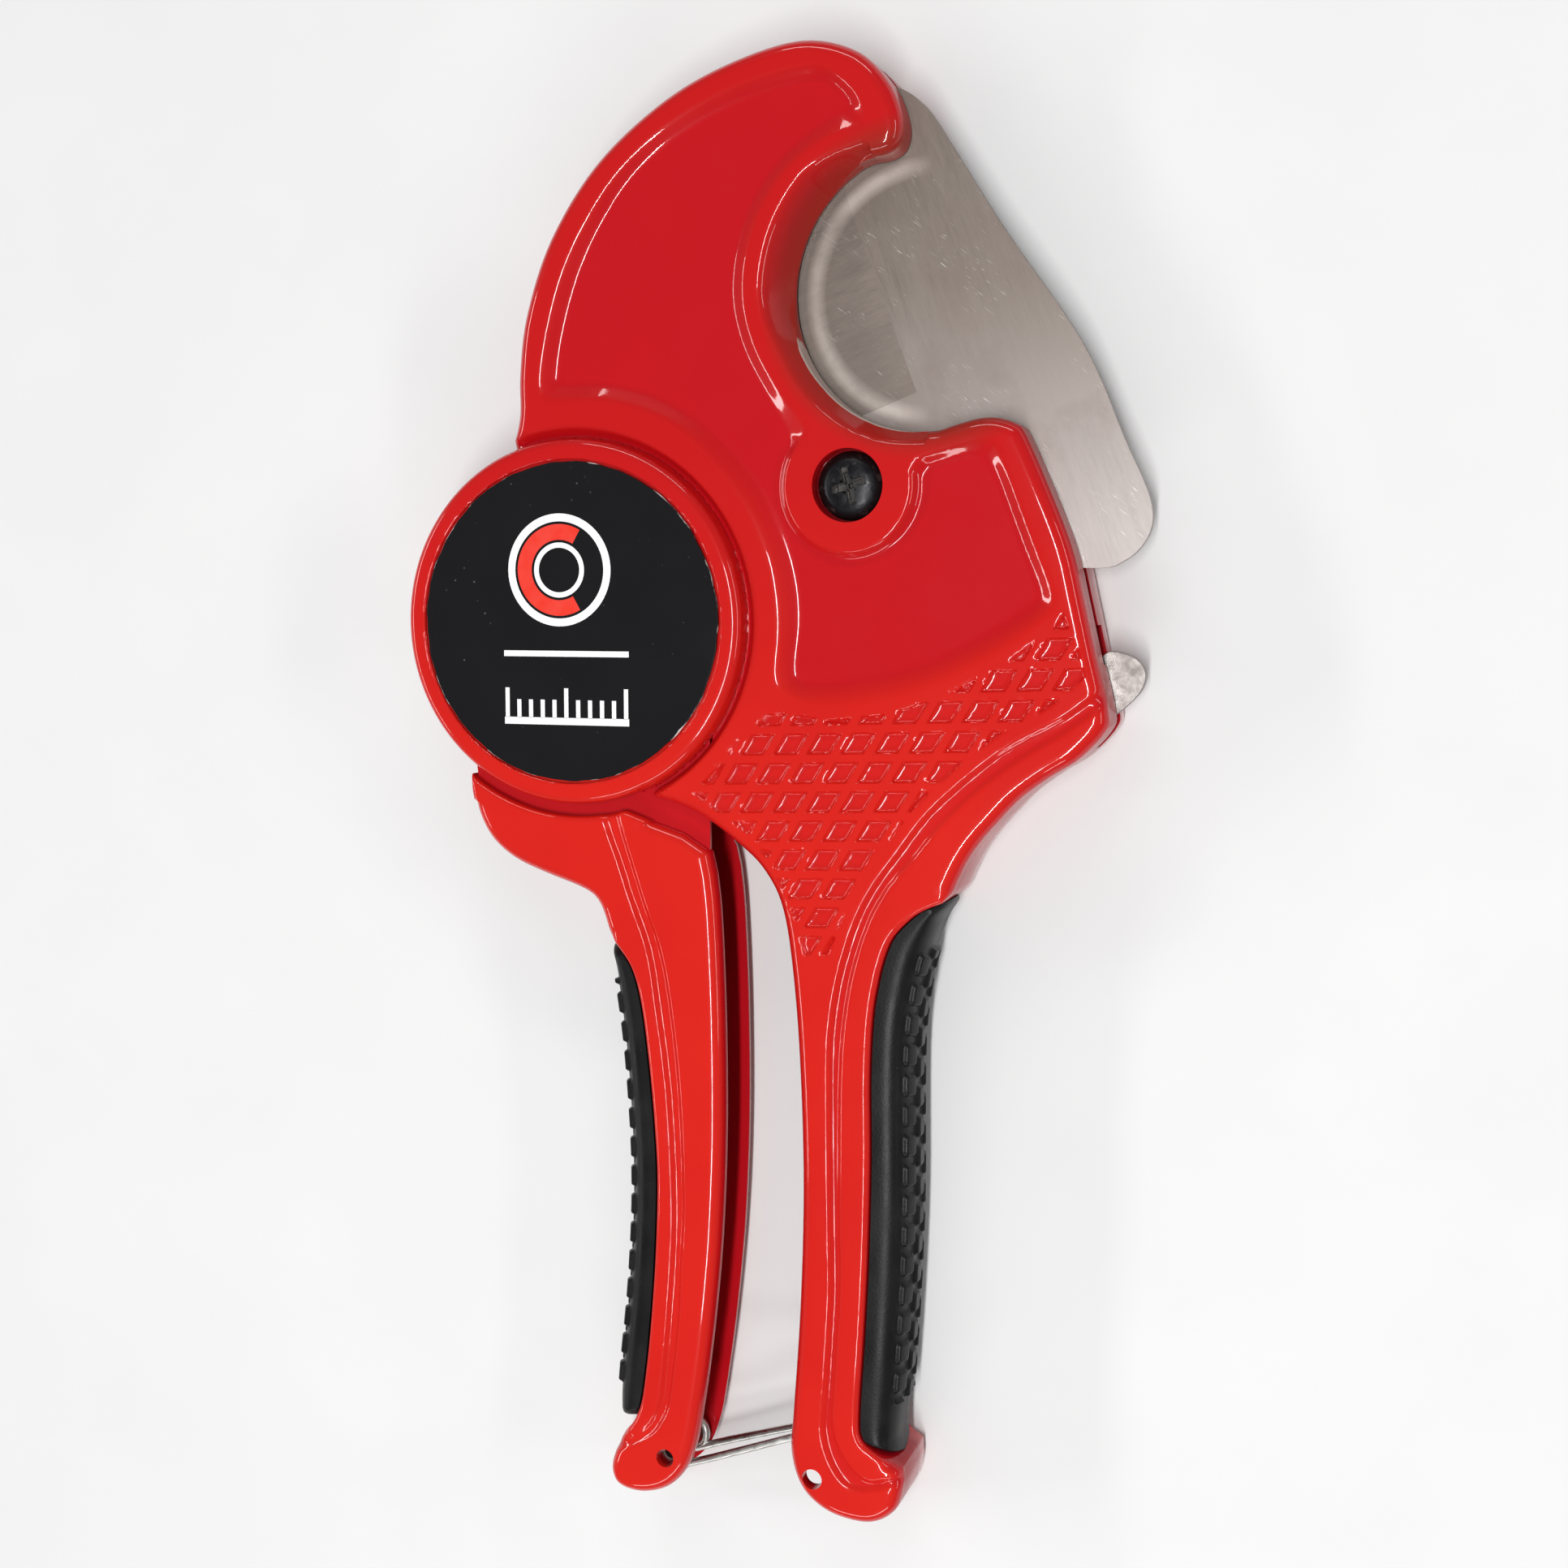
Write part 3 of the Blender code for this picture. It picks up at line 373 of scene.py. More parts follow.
# The shallow groove beside the fixed grip: down its left wall and up its right one
GROOVE = smooth([
    (85.0, -6.8), (81.5, -8.8), (75.8, -13.0), (68.6, -16.9), (62.3, -21.7), (56.2, -27.4),
    (51.9, -33.1), (47.9, -38.6), (45.2, -43.8), (43.0, -50.5), (41.6, -57.2), (40.9, -66.2),
    (41.1, -87.1), (41.3, -100.7), (41.0, -107.5), (40.4, -117.6), (40.0, -123.5),
    (41.2, -128.1), (43.6, -131.6), (46.4, -132.6), (50.0, -131.8), (55.0, -130.4)], 3) + smooth([
    (55.0, -128.0), (50.4, -129.3), (47.9, -129.9), (45.4, -128.2), (43.4, -124.9),
    (42.7, -121.0), (43.3, -110.7), (43.9, -100.4), (43.7, -86.9), (43.8, -68.0),
    (44.5, -58.7), (45.8, -51.5), (48.1, -44.4), (51.2, -38.9), (54.9, -34.6), (58.9, -29.6),
    (64.5, -24.2), (70.3, -19.8), (76.8, -15.8), (81.3, -12.6), (85.0, -10.2)], 3)

# Bounds of the sunk diamonds, and their lattice
DIAMOND_FIELD = [
    (37.5, -49.8), (36.4, -45.4), (34.4, -41.2), (32.2, -36.8), (29.4, -32.6), (25.9, -30.1),
    (22.6, -28.2), (19.4, -25.6), (24.3, -21.0), (27.8, -16.4), (31.8, -13.4), (34.5, -13.2),
    (41.6, -14.0), (50.5, -13.0), (59.4, -9.9), (68.3, -5.1), (73.2, -1.4), (76.2, 2.0),
    (78.6, -3.6), (79.6, -7.4), (74.8, -11.7), (67.6, -15.7), (61.4, -20.5), (55.2, -26.3),
    (50.9, -32.0), (46.9, -37.6), (44.1, -43.2), (41.4, -49.6)]
LATTICE_START = (29.80, -15.48)
LATTICE_ACROSS = (5.25, 0.20)
LATTICE_UP = (2.69, 4.45)
DIAMOND_SHARE = 0.76
DIAMOND_DEPTH = 0.58
DIAMOND_WALL = 0.48

# The groove beside the moving grip, in the same order
MOVING_GROOVE = smooth([
    (3.6, -27.0), (4.9, -31.4), (6.8, -36.4), (9.0, -42.8), (11.8, -50.4), (13.2, -58.8),
    (15.0, -72.7), (15.8, -89.7), (15.5, -99.1), (14.9, -107.2), (13.9, -117.9), (13.2, -122.6),
    (11.2, -126.3), (7.6, -128.9), (3.0, -131.4)], 3) + smooth([
    (3.0, -133.0), (8.3, -130.9), (12.4, -128.4), (14.9, -124.8), (15.9, -121.2), (17.3, -110.4),
    (17.9, -99.9), (18.4, -89.4), (17.8, -72.5), (16.3, -58.6), (14.7, -50.2), (12.2, -43.3),
    (10.1, -37.0), (8.3, -31.4), (7.2, -27.0)], 3)


def edge_point(along):
    """A point on the cutting edge, measured from its lower end."""
    corner = polar(BEVEL_CORNER, BEVEL_WIDTH, BEVEL_ANGLE + 90.0)
    return polar(corner, along, BEVEL_ANGLE)


def blade_outline():
    """Cutting edge, tang round the pivot, heel, back and nose."""
    back = smooth([
        (68.0, 8.7), (80.0, 8.1), (83.6, 9.1), (86.2, 11.3), (87.6, 14.6), (86.9, 18.9),
        (83.6, 26.1), (79.4, 36.0), (75.0, 43.6), (65.4, 57.1), (57.4, 69.6), (53.4, 75.2),
        (48.7, 78.1), (42.0, 79.5), (34.0, 79.0), (27.4, 76.4), (23.3, 71.4)])
    return back + [edge_point(0.0)] + arc(BLADE_PIVOT, 10.6, 120.0, 285.0, 36)


def blade_slot_outline():
    """Everything the blade sweeps between the cheeks from closed to open."""
    foot = polar(edge_point(2.0), 1.4, BEVEL_ANGLE + 90.0)
    top = polar(edge_point(43.0), 1.4, BEVEL_ANGLE + 90.0)
    return ([foot, top] + arc(BLADE_PIVOT, SLOT_REACH, 110.0, 25.0, 40)
            + arc(BLADE_PIVOT, HEEL_REACH, 20.0, -99.0, 56)
            + arc(BLADE_PIVOT, 11.8, -148.0, -230.0, 24))


# ---------------------------------------------------------------- mesh tools

def add_mesh(name, points, faces):
    """A mesh object from points in millimetres about the hub axis."""
    mesh = bpy.data.meshes.new(name)
    mesh.from_pydata((np.asarray(points, float) * MM + np.array(AXIS)).tolist(), [], faces)
    obj = bpy.data.objects.new(name, mesh)
    bpy.context.scene.collection.objects.link(obj)
    return obj


def block(name, outline, low, high):
    """A flat outline between two heights."""
    loop = anticlockwise(np.array(outline, float))
    count = len(loop)
    points = [(x, y, high) for x, y in loop] + [(x, y, low) for x, y in loop]
    faces = [list(range(count)), list(range(2 * count - 1, count - 1, -1))]
    for i in range(count):
        k = (i + 1) % count
        faces.append([i, count + i, count + k, k])
    return add_mesh(name, points, faces)


def turned(name, centre, profile, steps=72, phase=0.0):
    """A turned piece: (radius, height) from the top of its axis, down its outside, to its foot."""
    points = [(centre[0], centre[1], profile[0][1]), (centre[0], centre[1], profile[-1][1])]
    rings = profile[1:-1]
    for radius, height in rings:
        for x, y in arc(centre, radius, phase, phase + 360.0, steps)[:-1]:
            points.append((x, y, height))
    faces = []
    last = 2 + (len(rings) - 1) * steps
    for i in range(steps):
        k = (i + 1) % steps
        faces.append([0, 2 + i, 2 + k])
        faces.append([1, last + k, last + i])
        for ring in range(len(rings) - 1):
            upper = 2 + ring * steps
            lower = upper + steps
            faces.append([upper + i, lower + i, lower + k, upper + k])
    return add_mesh(name, points, faces)


def skin(name, points, sides):
    """A closed tube over rings of points that have the same number of sides."""
    last = len(points) - sides
    faces = []
    for row in range(0, last, sides):
        for k in range(sides):
            a, b = row + k, row + (k + 1) % sides
            faces.append([a, b, b + sides, a + sides])
    faces.append(list(range(sides - 1, -1, -1)))
    faces.append([last + k for k in range(sides)])
    return add_mesh(name, points, faces)


def discard(obj):
    """Removes an object and its mesh."""
    mesh = obj.data
    bpy.data.objects.remove(obj, do_unlink=True)
    bpy.data.meshes.remove(mesh)


def apply_modifiers(obj, helpers=()):
    """Keeps the modified mesh and removes the helper objects."""
    bpy.context.view_layer.update()
    graph = bpy.context.evaluated_depsgraph_get()
    mesh = bpy.data.meshes.new_from_object(obj.evaluated_get(graph))
    obj.modifiers.clear()
    old = obj.data
    obj.data = mesh
    bpy.data.meshes.remove(old)
    mesh.name = obj.name
    mesh.materials.clear()
    for helper in helpers:
        discard(helper)


def join_and_cut(obj, additions, cuts):
    """Booleans: additions and cuts are solids."""
    for operation, helpers in (("UNION", additions), ("DIFFERENCE", cuts)):
        for helper in helpers:
            step = obj.modifiers.new(helper.name, "BOOLEAN")
            step.operation = operation
            step.object = helper
            step.solver = "MANIFOLD"
    apply_modifiers(obj, list(additions) + list(cuts))


def soften(obj, width, segments=2, angle=40.0):
    bevel = obj.modifiers.new("soft_edges", "BEVEL")
    bevel.width = width * MM
    bevel.segments = segments
    bevel.limit_method = "ANGLE"
    bevel.angle_limit = math.radians(angle)
    bevel.use_clamp_overlap = True
    apply_modifiers(obj)


def shade(obj, angle=35.0):
    obj.data.shade_smooth()
    obj.data.set_sharp_from_angle(angle=math.radians(angle))
    return obj


# ---------------------------------------------------------------- relief plates

RING_SHARES = (0.03, 0.11, 0.24, 0.41, 0.6, 0.8, 1.0)
BACK_RING_SHARES = (0.08, 0.3, 0.62, 1.0)
WALL_SHARES = (0.01, 0.12, 0.26, 0.42, 0.58, 0.74, 0.88, 1.0)
GROOVE_WALL = 1.2
MOVING_GROOVE_WALL = 1.0
WALL_STEP = 0.6
EDGE_CLEARANCE = 0.12
SMALLEST_CELL = 0.2


def lattice(low, high, step):
    """Points of a triangular lattice over a rectangle."""
    rows = np.arange(low[1], high[1], step * math.sqrt(0.75))
    line = np.arange(low[0], high[0], step)
    x = np.concatenate([line + (0.5 * step if k % 2 else 0.0) for k in range(len(rows))])
    return np.column_stack([x, np.repeat(rows, len(line))])


def thin_out(points, cell):
    """Keeps the first point in each small cell."""
    keys = np.floor(points / cell).astype(int)
    first = np.unique(keys, axis=0, return_index=True)[1]
    return points[np.sort(first)]


def offset_rings(loop, radii, shares):
    """Points inside the outline at shares of its local edge radius."""
    ahead = np.roll(loop, -1, axis=0) - np.roll(loop, 1, axis=0)
    inward = np.column_stack([-ahead[:, 1], ahead[:, 0]])
    inward /= np.maximum(np.linalg.norm(inward, axis=1), 1e-9)[:, None]
    rings = []
    for share in shares:
        reach = radii * share
        ring = loop + inward * reach[:, None]
        clear = line_distance(ring, loop) > reach * 0.97
        rings.append(ring[clear & inside(ring, loop)])
    return np.vstack(rings)


class Plate:
    """A closed plate whose two faces are reliefs over one outline."""

    def __init__(self, outline, radius_at, spacing=0.45):
        self.loop = anticlockwise(resample(outline, spacing))
        self.coarse = anticlockwise(resample(outline, 2.0 * spacing))
        self.radii = radius_at(self.loop)
        self.radius_at = radius_at

    def edge_gap(self, points):
        return line_distance(points, self.coarse)

    def surface(self, inner_points, shares, height):
        """Triangulates one face; returns its points with heights, triangles and rim."""
        clear = inside(inner_points, self.loop)
        inner_points = inner_points[clear]
        clear = self.edge_gap(inner_points) > self.radius_at(inner_points) + EDGE_CLEARANCE
        rings = offset_rings(self.loop, self.radii, shares)
        flat = np.vstack([self.loop, rings, thin_out(inner_points[clear], SMALLEST_CELL)])
        count = len(self.loop)
        rim = [(i, (i + 1) % count) for i in range(count)]
        points, _, faces, origins, _, _ = delaunay_2d_cdt(
            [Vector(p) for p in flat], rim, [], 1, 1e-5)
        place = {}
        for k, sources in enumerate(origins):
            for source in sources:
                place[source] = k
        spots = np.array([tuple(p) for p in points])
        gap = self.edge_gap(spots)
        gap[[place[i] for i in range(count)]] = 0.0
        heights = height(spots, gap, self.radius_at(spots))
        return np.column_stack([spots, heights]), faces, [place[i] for i in range(count)]

    def solid(self, name, front, back):
        """front and back are (points, faces, rim)."""
        shift = len(front[0])
        points = np.vstack([front[0], back[0]])
        faces = [list(face) for face in front[1]]
        faces += [[shift + k for k in reversed(face)] for face in back[1]]
        top, foot = front[2], [shift + k for k in back[2]]
        for i in range(len(top)):
            k = (i + 1) % len(top)
            faces.append([foot[i], foot[k], top[k], top[i]])
        used = np.unique(np.concatenate([np.array(face) for face in faces]))
        renumber = np.full(len(points), -1)
        renumber[used] = np.arange(len(used))
        faces = [[int(renumber[k]) for k in face] for face in faces]
        return add_mesh(name, points[used], faces)


def along_border(border, radius):
    """Edge radius of an outline: smaller beside a grip's border."""
    line = np.array(smooth(border))

    def radius_at(points):
        gap = line_distance(points, line, closed=False)
        return radius + (GRIP_SIDE_ROUND - radius) * (1.0 - ease((gap - 0.6) / 2.0))
    return radius_at


# ---------------------------------------------------------------- frame casting

def panel_share(points):
    """0 outside the sunk panel, 1 on its floor, between the two on its slope."""
    floor = inside(points, PANEL_FOOT)
    slope = inside(points, PANEL_TOP) & ~floor
    share = floor.astype(float)
    from_top = line_distance(points[slope], PANEL_TOP)
    from_foot = line_distance(points[slope], PANEL_FOOT)
    share[slope] = from_top / np.maximum(from_top + from_foot, 1e-9)
    return share


def diamond_relief(points):
    """Depth of the sunk diamonds."""
    step = np.array([LATTICE_ACROSS, LATTICE_UP]).T
    cell = (points - np.array(LATTICE_START)) @ np.linalg.inv(step).T
    share = cell - np.floor(cell)
    area = abs(np.linalg.det(step))
    gap = depth_inside(points, DIAMOND_FIELD)
    for k, other in ((0, LATTICE_UP), (1, LATTICE_ACROSS)):
        width = area / math.hypot(*other)
        gap = np.minimum(gap, np.minimum(share[:, k], DIAMOND_SHARE - share[:, k]) * width)
    return DIAMOND_DEPTH * ease(gap / DIAMOND_WALL)


def sloped(gap, width, drop, corner=0.3):
    """How far a sloped wall with a rounded upper corner lies below its flat."""
    share = 1.0 - np.clip(gap / width, 0.0, 1.0)
    bent = share * share / (2.0 * corner)
    straight = share - corner / 2.0
    return drop * np.where(share < corner, bent, straight) / (1.0 - corner / 2.0)


def jaw_rounding(points, level_at_rim, width, drop):
    """Height of the jaw's sloped wall, tapering out at the jaw's two ends."""
    x = points[:, 0] - JAW[0]
    y = points[:, 1] - JAW[1]
    angle = np.degrees(np.arctan2(y, x)) % 360.0
    share = ease((angle - JAW_SLOPE_START) / JAW_SLOPE_FADE)
    share *= ease((JAW_SLOPE_END - angle) / JAW_SLOPE_FADE)
    lower = ease((angle - 178.0) / 30.0)
    broad = EDGE_ROUND + (width - EDGE_ROUND) * share * (1.0 - 0.75 * lower)
    deep = EDGE_ROUND + (drop - EDGE_ROUND) * share * (1.0 - 0.85 * lower)
    beyond = np.hypot(x, y) - JAW_RADIUS
    fall = sloped(np.maximum(beyond, 0.0), broad, deep)
    return np.where(share > 0.0, level_at_rim - fall, level_at_rim)


def casting_front(points, gap, radius):
    """Height of the casting's front."""
    reach = reach_from(HUB, points)
    boss = reach_from(BLADE_PIVOT, points)
    height = np.full(len(points), BODY_FRONT)
    height -= PANEL_DEPTH * ramp(panel_share(points))
    height -= GROOVE_DEPTH * ramp(depth_inside(points, GROOVE) / GROOVE_WALL)
    height -= diamond_relief(points)
    height -= HUB_DITCH_DEPTH * (1.0 - ramp((reach - HUB_RADIUS - 0.5) / 1.3))
    raised = BOSS_FRONT - BOSS_STEP * ease((boss - BOSS_RADIUS + 1.1) / 1.1)
    raised -= rounding(boss - SCREW_HEAD_RADIUS - GAP, 0.6, 0.6)
    height = np.where(boss < BOSS_RADIUS, raised, height)
    height -= rounding(gap, radius, radius)
    height = np.minimum(height, jaw_rounding(points, BODY_FRONT, JAW_SLOPE_WIDTH, JAW_SLOPE_DEPTH))
    hub = HUB_FRONT - rounding(HUB_RADIUS - reach, HUB_RIM, HUB_RIM)
    hub -= rounding(reach - LABEL_RADIUS - GAP, 0.25, 0.25)
    return np.where(reach <= HUB_RADIUS + 0.01, hub, height)


def casting_back(points, gap, radius):
    """Height of the casting's back: the same panel, a little shallower, and a raised hub."""
    reach = reach_from(HUB, points)
    height = np.full(len(points), BACK)
    height += BACK_PANEL_DEPTH * ramp(panel_share(points))
    height += BACK_GROOVE_DEPTH * ease(depth_inside(points, GROOVE) / 1.25)
    ditch = ease((reach - 27.6) / 0.6) * (1.0 - ease((reach - 28.9) / 0.9))
    height += BACK_HUB_DITCH_DEPTH * ditch
    height = np.where(reach_from(BLADE_PIVOT, points) < BOSS_RADIUS, BACK, height)
    height += rounding(gap, radius, radius * 0.8)
    return np.maximum(height, -jaw_rounding(points, -BACK, BACK_JAW_SLOPE_WIDTH, BACK_JAW_SLOPE_DEPTH))


def ring_points(centre, radii, steps):
    """Points on circles about a centre, in step with each other near the last one."""
    rings = []
    for radius in radii:
        count = steps if radius > 0.5 * radii[-1] else max(12, int(steps * radius / radii[-1]))
        rings.append(np.array(circle(centre, radius, count)))
    return np.vstack(rings)


def diamond_points():
    """Points in step with the diamond lattice, close together at the walls."""
    shares = np.array([0.0, 0.04, 0.08, 0.13, 0.25, 0.38, 0.51, 0.63, 0.68, 0.72, 0.76, 0.88])
    across, up = np.meshgrid(shares, shares)
    cell = np.column_stack([across.ravel(), up.ravel()])
    steps = np.array([LATTICE_ACROSS, LATTICE_UP])
    spots = [(cell + (i, j)) @ steps + LATTICE_START for i in range(-7, 14) for j in range(-10, 6)]
    spots = np.vstack(spots)
    return spots[depth_inside(spots, DIAMOND_FIELD) > -0.2]


def wall_points(loop, width):
    """Points along a groove's walls, in step with its edges."""
    line = anticlockwise(resample(loop, WALL_STEP))
    return offset_rings(line, np.full(len(line), width), WALL_SHARES)


def off_the_walls(spots, loop, width):
    """The points that are clear of a groove's walls."""
    depth = depth_inside(spots, resample(loop, WALL_STEP))
    return spots[(depth < -0.25) | (depth > width + 0.2)]


def casting_points(fine, coarse, hub_radii, boss_radii, with_diamonds):
    """Places of the vertices within one face of the casting."""
    low, high = (-30.0, -140.0), (85.0, 86.0)
    spots = lattice(low, high, fine)
    share = panel_share(spots)
    detail = (share > 0.0) & (share < 1.0)
    lines = [(PANEL_TOP, 0.7), (PANEL_FOOT, 0.7), (GROOVE, 1.7)]
    others = [wall_points(GROOVE, GROOVE_WALL)]
    if with_diamonds:
        lines.append((DIAMOND_FIELD, 0.8))
        others.insert(0, diamond_points())
    for line, reach in lines:
        detail |= line_distance(spots, resample(line, 1.0)) < reach
    detail |= reach_from(JAW, spots) - JAW_RADIUS < 5.0
    plain = np.vstack([spots[detail], lattice(low, high, coarse)])
    others = np.vstack(others + [off_the_walls(plain, GROOVE, GROOVE_WALL)])
    near_hub = reach_from(HUB, others) < hub_radii[-1] + 0.2
    near_boss = reach_from(BLADE_PIVOT, others) < boss_radii[-1] + 0.2
    return np.vstack([ring_points(HUB, hub_radii, 400), ring_points(BLADE_PIVOT, boss_radii, 140),
                      others[~(near_hub | near_boss)]])


HUB_RINGS = (4.0, 12.0, 20.0, 24.5, 24.8, 24.9, 25.05, 25.4, 26.0, 26.4, 26.7, 27.0, 27.3, 27.55, 27.75,
             27.9, 27.97, 28.0, 28.04, 28.3, 28.6, 28.85, 29.1, 29.35, 29.6, 29.9, 30.3, 31.0, 32.0)
BOSS_RINGS = (1.5, 4.0, 5.4, 5.44, 5.55, 5.75, 6.0, 6.6, 7.4, 8.2, 8.4, 8.65, 8.9, 9.15, 9.38, 9.44, 9.7,
              10.0, 10.3, 10.7, 11.0, 11.3)
BACK_HUB_RINGS = (4.0, 8.3, 14.0, 20.0, 25.0, 27.4, 27.7, 28.0, 28.3, 28.8, 29.2, 29.6, 30.0, 31.5)
BACK_BOSS_RINGS = (1.5, 4.0, 6.4, 7.5, 9.0, 9.38, 9.44, 9.8, 10.3, 10.8, 11.3)


def frame_cuts():
    """All that is hollowed out of the frame."""
    pivot = BLADE_PIVOT
    ratchet_way = arc(pivot, TOOTH_TIP + 0.8, -200.0, -14.0, 60) + arc(pivot, 11.7, -4.0, 160.0, 24)
    shapes = [
        ("head_way", [(0.0, 0.0), (22.4, -8.0), (22.4, -50.0), (-40.0, -50.0), (-40.0, 1.0)],
         0.02 - CAVITY_HALF, CAVITY_HALF - 0.02),
        ("blade_slot", blade_slot_outline(), -SLOT_HALF, SLOT_HALF),
        ("ratchet_way", ratchet_way, POCKET_BOTTOM, -0.5),
        ("pawl_way", [(16.0, -17.0), (36.0, -13.0), (50.0, -11.0), (54.0, -3.0), (30.0, 4.0),
                      (16.0, -3.0)], POCKET_BOTTOM - 0.01, -0.6),
        ("lever_way", [(54.0, -2.0), (55.0, -8.5), (64.0, -16.0), (74.0, -18.0), (90.0, -18.0),
                       (90.0, 1.5), (74.0, -1.0), (62.0, 3.0)], POCKET_BOTTOM - 0.02, -0.7),
        ("handle_channel", [(30.0, -47.0), (39.5, -49.5), (43.6, -60.0), (43.9, -86.0),
                            (43.2, -110.0), (42.6, -126.0), (43.0, -145.0), (30.0, -145.0)],
         -CHANNEL_HALF, CHANNEL_HALF)]
    rounds = [
        ("hub_cavity", HUB, CAVITY_RADIUS, -CAVITY_HALF, CAVITY_HALF),
        ("hub_bore", HUB, PIN_RADIUS + GAP, -THROUGH, THROUGH),
        ("label_recess", HUB, LABEL_RADIUS + GAP, HUB_FRONT - LABEL_RECESS, THROUGH),
        ("pin_head_recess", HUB, PIN_HEAD_RECESS, 6.8, THROUGH),
        ("ring_recess", HUB, PIN_HEAD_RECESS, -THROUGH, -7.3),
        ("screw_bore", pivot, SCREW_RADIUS + GAP, -THROUGH, THROUGH),
        ("bushing_bore", pivot, BUSHING_RADIUS + GAP, -3.7, 1.4),
        ("screw_head_recess", pivot, SCREW_HEAD_RADIUS + GAP, 4.2, THROUGH),
        ("nut_recess", pivot, 6.4, -THROUGH, -4.9),
        ("lever_pin_hole", LEVER_PIVOT, LEVER_PIN_RADIUS + GAP, -8.0, -2.0),
        ("lever_spring_recess", LEVER_PIVOT, 4.4, -6.4, -3.0),
        ("lanyard_hole", LANYARD, LANYARD_RADIUS, -THROUGH, THROUGH)]
    cuts = [block("cut_" + name, outline, low, high) for name, outline, low, high in shapes]
    for name, centre, radius, low, high in rounds:
        cuts.append(block("cut_" + name, circle(centre, radius, 96), low, high))
    return cuts


def catch_rib():
    """A rib down the middle of the fixed handle's channel, which the latch hooks behind."""
    return block("add_catch_rib", [
        (46.0, -104.0), (CATCH_X, -110.0), (CATCH_X, -127.6), (CATCH_X + 1.6, -127.6),
        (CATCH_X + 1.6, -116.0), (46.0, -113.0)], -1.2, 1.2)


def frame_casting():
    plate = Plate(frame_outline(), along_border(FIXED_GRIP_BORDER, EDGE_ROUND))
    front = plate.surface(casting_points(0.42, 1.5, HUB_RINGS, BOSS_RINGS, True), RING_SHARES,
                          casting_front)
    back = plate.surface(casting_points(0.9, 3.0, BACK_HUB_RINGS, BACK_BOSS_RINGS, False),
                         BACK_RING_SHARES, casting_back)
    casting = plate.solid("casting_shell", front, back)
    join_and_cut(casting, [], frame_cuts())
    join_and_cut(casting, [catch_rib()], [])
    return shade(casting, 42.0)


# ---------------------------------------------------------------- moving handle

def handle_front(points, gap, radius):
    """Height of the handle's front, with a sharper edge at the step under the hub."""
    near_step = reach_from(HUB, points) < STEP_RADIUS + 3.0
    radius = np.where(near_step, np.minimum(radius, 1.1), radius)
    groove = MOVING_GROOVE_DEPTH * ramp(depth_inside(points, MOVING_GROOVE) / MOVING_GROOVE_WALL)
    return HANDLE_HALF - groove - rounding(gap, radius, radius)


def handle_back(points, gap, radius):
    return -handle_front(points, gap, radius)


def handle_points(fine, coarse):
    """Places of the vertices within one face of the moving handle."""
    low, high = (-20.0, -140.0), (26.0, -24.0)
    spots = lattice(low, high, fine)
    near = line_distance(spots, resample(MOVING_GROOVE, 1.0)) < 1.6
    spots = np.vstack([spots[near], lattice(low, high, coarse)])
    return np.vstack([wall_points(MOVING_GROOVE, MOVING_GROOVE_WALL),
                      off_the_walls(spots, MOVING_GROOVE, MOVING_GROOVE_WALL)])


def moving_handle():
    plate = Plate(moving_handle_outline(), along_border(MOVING_GRIP_BORDER, EDGE_ROUND))
    front = plate.surface(handle_points(0.36, 1.2), RING_SHARES, handle_front)
    back = plate.surface(handle_points(0.6, 1.6), BACK_RING_SHARES, handle_back)
    handle = plate.solid("moving_handle_shell", front, back)
    neck = [(-17.4, -24.6), (-19.3, -9.0), (0.0, 0.0), (18.5, -9.0), (21.9, -13.0), (21.9, -36.0),
            (14.0, -34.0), (0.0, -33.0), (-15.0, -29.0)]
    channel = [(32.0, -23.0), (15.5, -23.0), (14.5, -33.0), (8.5, -37.5), (9.6, -44.0),
               (12.4, -52.0), (14.3, -60.0), (15.7, -74.0), (16.3, -86.0), (15.9, -98.0),
               (14.7, -111.0), (13.4, -120.0), (11.0, -127.0), (8.4, -132.0), (8.4, -150.0),
               (32.0, -150.0)]
    pocket = [(0.0, 10.0), (30.0, 14.0), (30.0, -22.0), (9.0, -22.0), (-4.0, -9.0)]
    additions = [
        block("add_neck", neck, -HEAD_HALF, HEAD_HALF),
        block("add_head", circle(HUB, HEAD_RADIUS, 128), 0.01 - HEAD_HALF, HEAD_HALF - 0.01)]
    cuts = [
        block("cut_channel", channel, -CHANNEL_HALF, CHANNEL_HALF),
        block("cut_pocket", pocket, -HEAD_POCKET_HALF, HEAD_POCKET_HALF),
        block("cut_spring_room", circle(HUB, 10.2, 72), -HEAD_POCKET_HALF - 0.01,
              HEAD_POCKET_HALF + 0.01),
        block("cut_pin_bore", circle(HUB, PIN_RADIUS + GAP, 64), -THROUGH, THROUGH),
        block("cut_pawl_pin_bore", circle(PAWL_PIVOT, PAWL_PIN_RADIUS + GAP, 48), -THROUGH, THROUGH),
        block("cut_spacer_bore", circle(LATCH_PIVOT, SPACER_BORE, 40), -THROUGH, THROUGH)]
    join_and_cut(handle, additions, cuts)
    return shade(handle, 42.0)


# ---------------------------------------------------------------- grips

GRIP_STATIONS = 400
GRIP_END = 3.2
GRIP_END_POWER = 2.2
GRIP_END_HEIGHT = 0.12
GRIP_SET_IN = 1.2
GRIP_SQUARENESS = 2.6
GRIP_FLAT = 0.15
BUMP_PITCH = 4.6
BUMP_LENGTH = 3.7
BUMP_HEIGHT = 0.7
BUMP_SUNK = 0.75
BUMP_CORNER = 0.9
BUMP_WALL = 0.6


